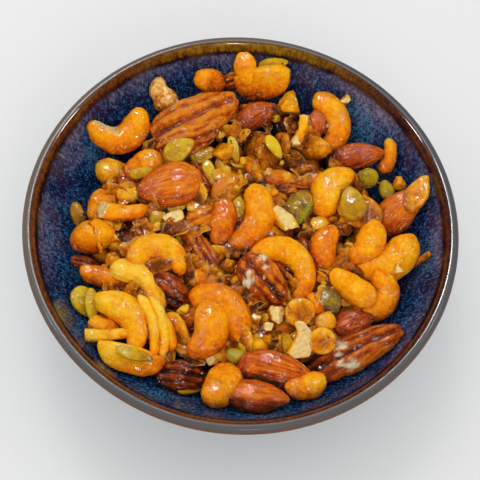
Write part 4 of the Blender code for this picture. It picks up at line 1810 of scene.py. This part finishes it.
@dataclass
class Heap:
    """All the nuts, the hidden core under them and the syrup that binds them."""

    view: View
    groups: Groups
    seed: int = 12
    fillers: int = 300
    bits: int = 130
    flakes: int = 170
    shards_each: int = 4
    unit: float = 2.72
    filler_reach: float = 53.0 * MM
    filler_region: Region = Region(80.0, 410.0, 75.0, 400.0)
    shard_region: Region = Region(72.0, 418.0, 66.0, 408.0)
    bit_region: Region = Region(75.0, 415.0, 70.0, 405.0)
    filler_shift: float = 8.0
    filler_stray: float = 9.0
    hidden_sides: int = 20
    hidden_rings: int = 16
    filler_length: Range = (11.0, 21.0)
    filler_slimness: Range = (0.42, 0.55)
    filler_depth: Range = (0.0, 3.4)
    bit_width: Triple = (2.0, 6.0, 3.0)
    shard_width: Triple = (3.5, 9.0, 6.0)
    skirt_length: Range = (3.5, 8.0)
    core_sides: int = 160
    core_rings: int = 80
    core_inset: float = 1.6 * MM
    core_edge: float = 57.5 * MM
    core_seam: float = -0.001
    skins: dict[str, bpy.types.Material] = field(default_factory=dict)

    def kinds(self) -> list[NutKind]:
        """List the kinds of nut in the bowl.

        Returns:
            The kinds, in the order in which they are laid.
        """
        return [
            NutKind("cashews", cashew_shape, CASHEW_SKIN, CASHEWS, 60, 50, crust=0.9),
            NutKind("curled_cashews", ring_cashew_shape, CASHEW_SKIN, RING_CASHEWS, 64, 80, crust=0.9),
            NutKind("pecans", pecan_shape, PECAN_SKIN, PECANS, 84, 58, 0.55, crust=0.9),
            NutKind("almonds", almond_shape, ALMOND_SKIN, ALMONDS, 64, 44, crust=0.8),
            NutKind("pumpkin_seeds", seed_shape, SEED_SKIN, PUMPKIN_SEEDS, 40, 28, crust=0.5),
            NutKind("leaf_seeds", seed_shape, GOLDEN_SKIN, LEAVES, 44, 32),
            NutKind("pistachios", plump_shape, PISTACHIO_SKIN, PISTACHIOS, 40, 30, 0.9),
            NutKind("peanuts", plump_shape, GOLDEN_SKIN, PEANUTS, 36, 28, crust=1.5),
            NutKind("bent_kernels", kernel_shape, CASHEW_SKIN, KERNELS, 48, 48, 0.8, crust=0.8),
            NutKind("slivers", sliver_shape, CASHEW_SKIN, SLIVERS, 36, 48, 0.6, crust=0.4),
            NutKind("half_moons", moon_shape, CASHEW_SKIN, MOONS, 56, 48, 0.9, crust=0.6),
            NutKind("cracked_kernels", knuckle_shape, KERNEL_SKIN, CRACKED, 56, 48, 0.8, crust=0.5),
            NutKind("almond_sticks", stick_shape, GOLDEN_SKIN, STICKS, 40, 30, 0.4, crust=0.3),
            NutKind("discs", disc_shape, GOLDEN_SKIN, DISCS, 44, 30, 0.8, crust=0.35),
            NutKind("broken_nuts", chunk_shape, GOLDEN_SKIN, CHUNKS, 40, 32, 1.0, broken=True),
            NutKind("clusters", chunk_shape, CLUSTER_SKIN, CLUSTERS, 52, 40, 2.0, broken=True),
        ]

    def inside(self, x: float, y: float) -> bool:
        """Whether a place of the view lies well within the heap's outline."""
        return self.view.place_on_heap(x, y, 0.0).xy.length < self.filler_reach

    def free(self, x: float, y: float) -> bool:
        """Find whether a small thing may lie at a place of the view.

        Args:
            x: Place to the right.
            y: Place down.

        Returns:
            Whether it lies within the heap's outline, and no large nut covers it.
        """
        large = (*LARGE_NUTS, *MOONS)
        covered = any(math.hypot(x - nut.x, y - nut.y) < 0.5 * self.unit * nut.width for nut in large)
        return not covered and self.inside(x, y)

    def filler(self, draw: random.Random, above: Lie | None) -> Lie:
        """Choose a nut that lies below the ones of the layout.

        Args:
            draw: Where random numbers come from.
            above: The nut that it lies under, or none for one anywhere in the middle of the heap.

        Returns:
            How it lies.
        """
        length = draw.uniform(*self.filler_length)
        width = length * draw.uniform(*self.filler_slimness)
        if above is None:
            x, y = self.filler_region.place(draw)
        else:
            inwards = Vector((self.view.middle - above.x, self.view.middle - above.y)).normalized()
            x = above.x + inwards.x * self.filler_shift + draw.uniform(-self.filler_stray, self.filler_stray)
            y = above.y + inwards.y * self.filler_shift + draw.uniform(-self.filler_stray, self.filler_stray)
        depth = 0.45 * width + draw.uniform(*self.filler_depth)
        layer = self.view.hollow.middle_layer - depth * MM / self.view.hollow.layer_step
        turns = (draw.uniform(0, 360), draw.uniform(-30, 30), draw.uniform(0, 90))
        return Lie(x, y, length, width, *turns, layer, draw.uniform(0.35, 0.85))

    def hidden_lies(self, draw: random.Random) -> list[Lie]:
        """Choose the nuts that fill the gaps between the ones of the layout.

        Args:
            draw: Where random numbers come from.

        Returns:
            How each of them lies.
        """
        lies = [self.filler(draw, lie) for lie in (*LARGE_NUTS, *PUMPKIN_SEEDS)]
        lies = [lie for lie in lies if self.inside(lie.x, lie.y)]
        while len(lies) < self.fillers:
            lie = self.filler(draw, None)
            if self.inside(lie.x, lie.y):
                lies.append(lie)
        return lies

    def chopped(self, draw: random.Random) -> tuple[Lie, ...]:
        """Choose the chopped bits that lie between the nuts.

        Args:
            draw: Where random numbers come from.

        Returns:
            How each of them lies.
        """
        lies = []
        while len(lies) < self.bits:
            x, y = self.bit_region.place(draw)
            width = draw.triangular(*self.bit_width)
            turns = (draw.uniform(0, 360), draw.uniform(-25, 25), draw.uniform(-30, 30))
            layer = draw.uniform(0.2, 1.15)
            cut = Cut.TOP if draw.random() < 0.1 else Cut.NONE
            if self.free(x, y):
                length = width * draw.uniform(1.1, 1.7)
                lies.append(Lie(x, y, length, width, *turns, layer, draw.uniform(0.1, 0.8), cut))
        return tuple(lies)

    def shards(self, draw: random.Random) -> tuple[Lie, ...]:
        """Choose the shards of caramel and seed skin that stand and lie between the nuts.

        Args:
            draw: Where random numbers come from.

        Returns:
            How each of them lies.
        """
        lies = []
        while len(lies) < self.flakes:
            x, y = self.shard_region.place(draw)
            width = draw.triangular(*self.shard_width)
            turns = (draw.uniform(0, 360), draw.gauss(0.0, 18.0), draw.gauss(0.0, 24.0))
            if self.free(x, y):
                length = width * draw.uniform(1.1, 1.8)
                lies.append(Lie(x, y, length, width, *turns, draw.uniform(0.3, 1.4), draw.uniform(0.1, 1.0)))
        return tuple(lies)

    def skirts(self, draw: random.Random) -> tuple[Lie, ...]:
        """Choose the thin shards of set sugar round the feet of the large nuts.

        Args:
            draw: Where random numbers come from.

        Returns:
            How each of them lies.
        """
        lies = []
        for nut in (nut for nut in LARGE_NUTS for _ in range(self.shards_each)):
            heading = draw.uniform(0.0, math.tau)
            turn = math.radians(nut.turn)
            along = 0.52 * nut.length * math.cos(heading)
            across = 0.5 * nut.width * math.sin(heading)
            x = nut.x + self.unit * (along * math.cos(turn) - across * math.sin(turn))
            y = nut.y - self.unit * (along * math.sin(turn) + across * math.cos(turn))
            edge = math.atan2(nut.width * math.cos(heading), -nut.length * math.sin(heading))
            length = draw.uniform(*self.skirt_length)
            tangent = nut.turn + math.degrees(edge) + draw.gauss(0.0, 12.0)
            turns = (tangent, draw.gauss(0.0, 6.0), draw.gauss(0.0, 12.0))
            layer = nut.layer - 0.15 * nut.width - draw.uniform(0.0, 0.3)
            if self.free(x, y):
                lies.append(Lie(x, y, length, 0.45 * length, *turns, layer, draw.uniform(0.0, 0.9)))
        return tuple(lies)

    def core(self) -> bpy.types.Object:
        """Model the hidden nuts as one lumpy solid that fills the bowl.

        Returns:
            The core.
        """
        deselect()
        bpy.ops.mesh.primitive_uv_sphere_add(segments=self.core_sides, ring_count=self.core_rings, radius=1.0)
        item = bpy.context.active_object
        item.name = "heap_core"
        for vert in item.data.vertices:
            vert.co = self.core_point(vert.co)
        CORE_LUMPS.raise_on(item)
        return smooth(item)

    def core_point(self, place: Vector) -> Vector:
        """Move a point of a unit ball onto the core.

        Args:
            place: The point.

        Returns:
            Its place on the core's top or, for the lower half, along the wall.
        """
        hollow = self.view.hollow
        spread = place.xy.length
        heading = math.atan2(place.y, place.x)
        ahead, aside = self.core_edge * math.cos(heading), self.core_edge * math.sin(heading)
        top = float(hollow.core_height(ahead, aside))
        depth = hollow.middle - hollow.floor_height - self.core_inset
        edge = math.asin(min(1.0, (hollow.middle - top) / depth))
        if place.z > self.core_seam:
            radius = (hollow.inner_reach - self.core_inset) * math.cos(edge) * spread
            x, y = radius * math.cos(heading), radius * math.sin(heading)
            return Vector((x, y, float(hollow.core_height(x, y))))
        share = math.asin(min(1.0, -place.z)) / (math.pi / 2.0)
        angle = edge + (math.pi / 2.0 - edge) * share
        radius = (hollow.inner_reach - self.core_inset) * math.cos(angle)
        height = hollow.middle - depth * math.sin(angle)
        return Vector((radius * math.cos(heading), radius * math.sin(heading), height))

    def skin(self, finish: NutFinish) -> bpy.types.Material:
        """Give a finish's material, which is built only once.

        Args:
            finish: The finish.

        Returns:
            The material.
        """
        if finish.name not in self.skins:
            self.skins[finish.name] = finish.dress(self.groups)
        return self.skins[finish.name]

    def nuts(self, draw: random.Random) -> list[tuple[bpy.types.Object, bpy.types.Material]]:
        """Lay every nut, shown or hidden, then the bits and the shards.

        Args:
            draw: Where random numbers come from.

        Returns:
            Each piece and what it is dressed in.
        """
        hidden = self.hidden_lies(draw)
        made = []
        for kind in self.kinds():
            piece = kind.build(self.view, draw)
            for grain in CRUST:
                grain.raise_on(piece, kind.crust)
            made.append((piece, self.skin(kind.finish)))
            below = tuple(lie for index, lie in enumerate(hidden) if HOMES[index % len(HOMES)] == kind.name)
            if below:
                sizes = {"sides": self.hidden_sides, "rings": self.hidden_rings}
                buried = replace(kind, name=f"{kind.name}_below", lies=below, **sizes)
                piece = buried.build(self.view, draw)
                HIDDEN_CRUST.raise_on(piece)
                made.append((piece, self.skin(kind.finish)))
        bits = NutKind("chopped_bits", chunk_shape, GOLDEN_SKIN, self.chopped(draw), 22, 16, 0.8, broken=True)
        made.append((bits.build(self.view, draw), self.skin(bits.finish)))
        lies = self.shards(draw) + self.skirts(draw)
        shards = NutKind("caramel_shards", flake_shape, FLAKE_SKIN, lies, 22, 14, 0.8)
        made.append((shards.build(self.view, draw), self.skin(shards.finish)))
        return made

    def build(self) -> None:
        """Lay and dress the nuts, their core and the syrup."""
        made = self.nuts(random.Random(self.seed))
        core = self.core()
        film = Syrup().build([core, *(piece for piece, _ in made)])
        syrup = SyrupFinish().dress(self.groups)
        for piece, skin in (*made, (core, syrup), (film, syrup)):
            finish_piece(piece, HEAP_NODE, skin)


# ---------------------------------------------------------------- the bowl


@dataclass
class Bowl:
    """Bowl turned from one profile, with a rounded lip and a foot ring."""

    hollow: Hollow
    base_height: float = 4.5 * MM
    foot_outer: float = 35.0 * MM
    foot_inner: float = 29.5 * MM
    foot_bevel: float = 0.8 * MM
    recess_height: float = 3.5 * MM
    inner_points: int = 26
    outer_points: int = 18
    lip_points: int = 9
    steps: int = 128
    weld: float = 0.02 * MM

    def oval(self, reach: float, depth: float, start: float, end: float, count: int) -> Section:
        """Points down an oval wall, evenly from one angle below its widest level to another."""
        angles = [start + (end - start) * index / (count - 1) for index in range(count)]
        return [(reach * math.cos(angle), self.hollow.middle - depth * math.sin(angle)) for angle in angles]

    def lip(self, inner: float) -> Section:
        """Draw the rounded lip.

        Args:
            inner: Radius where the inner wall ends.

        Returns:
            The points between the two walls.
        """
        middle = (inner + self.hollow.rim_radius) / 2.0
        reach = (self.hollow.rim_radius - inner) / 2.0
        level = self.hollow.rim_height - self.hollow.lip_radius
        points = []
        for index in range(1, self.lip_points + 1):
            angle = math.pi * (1.0 - index / (self.lip_points + 1))
            height = level + self.hollow.lip_radius * math.sin(angle)
            points.append((middle + reach * math.cos(angle), height))
        return points

    def profile(self) -> Section:
        """Draw half a section, from the floor's middle over the lip to the underside's middle.

        Returns:
            The points.
        """
        hollow = self.hollow
        lip_drop = hollow.middle - (hollow.rim_height - hollow.lip_radius)
        inner_depth = hollow.middle - hollow.floor_height
        outer_depth = hollow.middle - self.base_height
        inner_start = math.asin(lip_drop / inner_depth)
        outer_start = math.asin(lip_drop / outer_depth)
        outer_reach = hollow.rim_radius / math.cos(outer_start)
        outer_end = math.acos((self.foot_outer + self.foot_bevel) / outer_reach)
        inner = self.oval(hollow.inner_reach, inner_depth, math.pi / 2.0, inner_start, self.inner_points)
        inner[0] = (0.0, hollow.floor_height)
        outer = self.oval(outer_reach, outer_depth, outer_start, outer_end, self.outer_points)
        foot = [
            (self.foot_outer, self.foot_bevel),
            (self.foot_outer - self.foot_bevel, 0.0),
            (self.foot_inner + self.foot_bevel, 0.0),
            (self.foot_inner, self.foot_bevel),
            (self.foot_inner - self.foot_bevel, self.recess_height),
            (0.0, self.recess_height),
        ]
        return inner + self.lip(inner[-1][0]) + outer + foot

    def build(self) -> bpy.types.Object:
        """Draw the profile point by point and spin it about the upright axis.

        Returns:
            The bowl.
        """
        profile = self.profile()
        deselect()
        bpy.ops.mesh.primitive_plane_add(size=MM, location=(0.0, 0.0, 0.0))
        item = bpy.context.active_object
        item.name = "turned_bowl"
        bpy.ops.object.mode_set(mode="EDIT")
        bpy.ops.mesh.select_all(action="SELECT")
        bpy.ops.mesh.merge(type="CENTER")
        bpy.ops.transform.translate(value=(profile[0][0], 0.0, profile[0][1]))
        for (radius, height), (was_radius, was_height) in zip(profile[1:], profile):
            step = (radius - was_radius, 0.0, height - was_height)
            bpy.ops.mesh.extrude_region_move(TRANSFORM_OT_translate={"value": step})
        bpy.ops.mesh.select_all(action="SELECT")
        bpy.ops.mesh.spin(steps=self.steps, angle=math.tau, center=(0.0, 0.0, 0.0), axis=(0.0, 0.0, 1.0))
        bpy.ops.mesh.select_all(action="SELECT")
        bpy.ops.mesh.remove_doubles(threshold=self.weld)
        bpy.ops.mesh.normals_make_consistent(inside=False)
        return smooth(item)

    def dress(self, item: bpy.types.Object) -> None:
        """Glaze the bowl."""
        finish_piece(item, BOWL_NODE, StonewareGlaze().dress())


# ---------------------------------------------------------------- the studio


class Lamp(NamedTuple):
    """Square lamp: it makes the highlights, or else only lights the matt part of each finish."""

    name: str
    place: Triple
    size: float
    watts: float
    shines: bool = True


LAMPS = (
    Lamp("key_lamp", (-0.5, 0.9, 1.5), 0.8, 2.0, shines=False),
    Lamp("front_lamp", (0.5, -1.3, 1.0), 0.9, 5.0, shines=False),
    Lamp("back_shine", (-0.2, 0.6, 1.25), 0.3, 16.0),
    Lamp("right_shine", (0.8, 0.2, 1.1), 0.16, 4.0),
    Lamp("left_shine", (-0.9, -0.1, 1.0), 0.16, 4.2),
    Lamp("near_shine", (0.2, -0.9, 1.1), 0.14, 2.5),
)


@dataclass
class Studio:
    """Pale floor, soft light and the camera."""

    view: View
    floor_size: float = 6.0
    floor_level: float = -0.05 * MM
    floor_colour: Colour = (0.775, 0.778, 0.772, 1.0)
    sensor: float = 36.0
    lens_trim: float = 1.0045
    aim: Triple = (0.0, 0.0, 0.04)
    bright_side: Triple = (-0.5, 0.5, 0.7)
    light: float = 0.85
    light_swing: float = 0.2
    mirrored: float = 0.02
    mirrored_swing: float = 0.14

    def camera(self) -> None:
        """Set the camera where the eye is."""
        eye, right, up, back = self.view.axes()
        data = bpy.data.cameras.new("camera")
        data.sensor_width = self.sensor
        data.lens = self.lens_trim * self.view.pixels * self.sensor / self.view.frame
        data.clip_start = 10.0 * MM
        item = bpy.data.objects.new("camera", data)
        matrix = Matrix((right, up, back)).transposed().to_4x4()
        matrix.translation = eye
        item.matrix_world = matrix
        bpy.context.scene.collection.objects.link(item)
        bpy.context.scene.camera = item

    def floor(self) -> None:
        """Lay the pale floor."""
        deselect()
        bpy.ops.mesh.primitive_plane_add(size=self.floor_size, location=(0.0, 0.0, self.floor_level))
        item = bpy.context.active_object
        item.name = "floor"
        material, _, shader, _ = new_material("pale_floor")
        set_inputs(shader, Base_Color=self.floor_colour, Roughness=0.6)
        item.data.materials.append(material)

    def room(self) -> None:
        """Fill the room with soft light from behind on the left, which hardly shows in reflections."""
        world = bpy.data.worlds.new("studio_light")
        world.use_nodes = True
        wiring = Wiring(world.node_tree)
        back = world.node_tree.nodes["Background"]
        set_inputs(back, Color=(1.0, 1.0, 1.0, 1.0))
        sky = wiring.node("TexCoord").outputs["Generated"]
        low = wiring.band(wiring.parts(sky)["Z"], 0.4, 0.1)
        facing = wiring.node("VectorMath", operation="DOT_PRODUCT")
        wiring.feed(facing.inputs[0], sky)
        wiring.feed(facing.inputs[1], self.bright_side)
        mix = wiring.node("Mix", data_type="FLOAT")
        wiring.feed(mix.inputs[0], wiring.node("LightPath").outputs["Is Glossy Ray"])
        wiring.feed(mix.inputs[2], wiring.line(facing.outputs["Value"], self.light_swing, self.light))
        wiring.feed(mix.inputs[3], wiring.line(low, self.mirrored_swing, self.mirrored))
        wiring.feed(back.inputs["Strength"], mix.outputs[0])
        bpy.context.scene.world = world

    def hang(self, lamp: Lamp) -> None:
        """Hang a lamp over the bowl.

        Args:
            lamp: The lamp.
        """
        data = bpy.data.lights.new(lamp.name, "AREA")
        data.size = lamp.size
        data.energy = lamp.watts
        item = bpy.data.objects.new(lamp.name, data)
        item.location = lamp.place
        item.visible_glossy = lamp.shines
        item.visible_diffuse = not lamp.shines
        direction = Vector(self.aim) - Vector(lamp.place)
        item.rotation_euler = direction.to_track_quat("-Z", "Y").to_euler()
        bpy.context.scene.collection.objects.link(item)

    def build(self) -> None:
        """Set up the studio."""
        self.camera()
        self.floor()
        for lamp in LAMPS:
            self.hang(lamp)
        self.room()
        bpy.context.scene.view_settings.view_transform = "Standard"


def main() -> None:
    """Build the bowl, its nuts and the studio, and log how many corners each piece has."""
    logging.basicConfig(level=logging.INFO, format="%(message)s")
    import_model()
    view = View(Hollow())
    groups = {
        "roasting": roasting_group(),
        "sugar_film": sugar_group(),
        "heap_depth": depth_group(view.hollow),
    }
    bowl = Bowl(view.hollow)
    bowl.dress(bowl.build())
    Heap(view, groups).build()
    Studio(view).build()


if __name__ == "__main__":
    main()
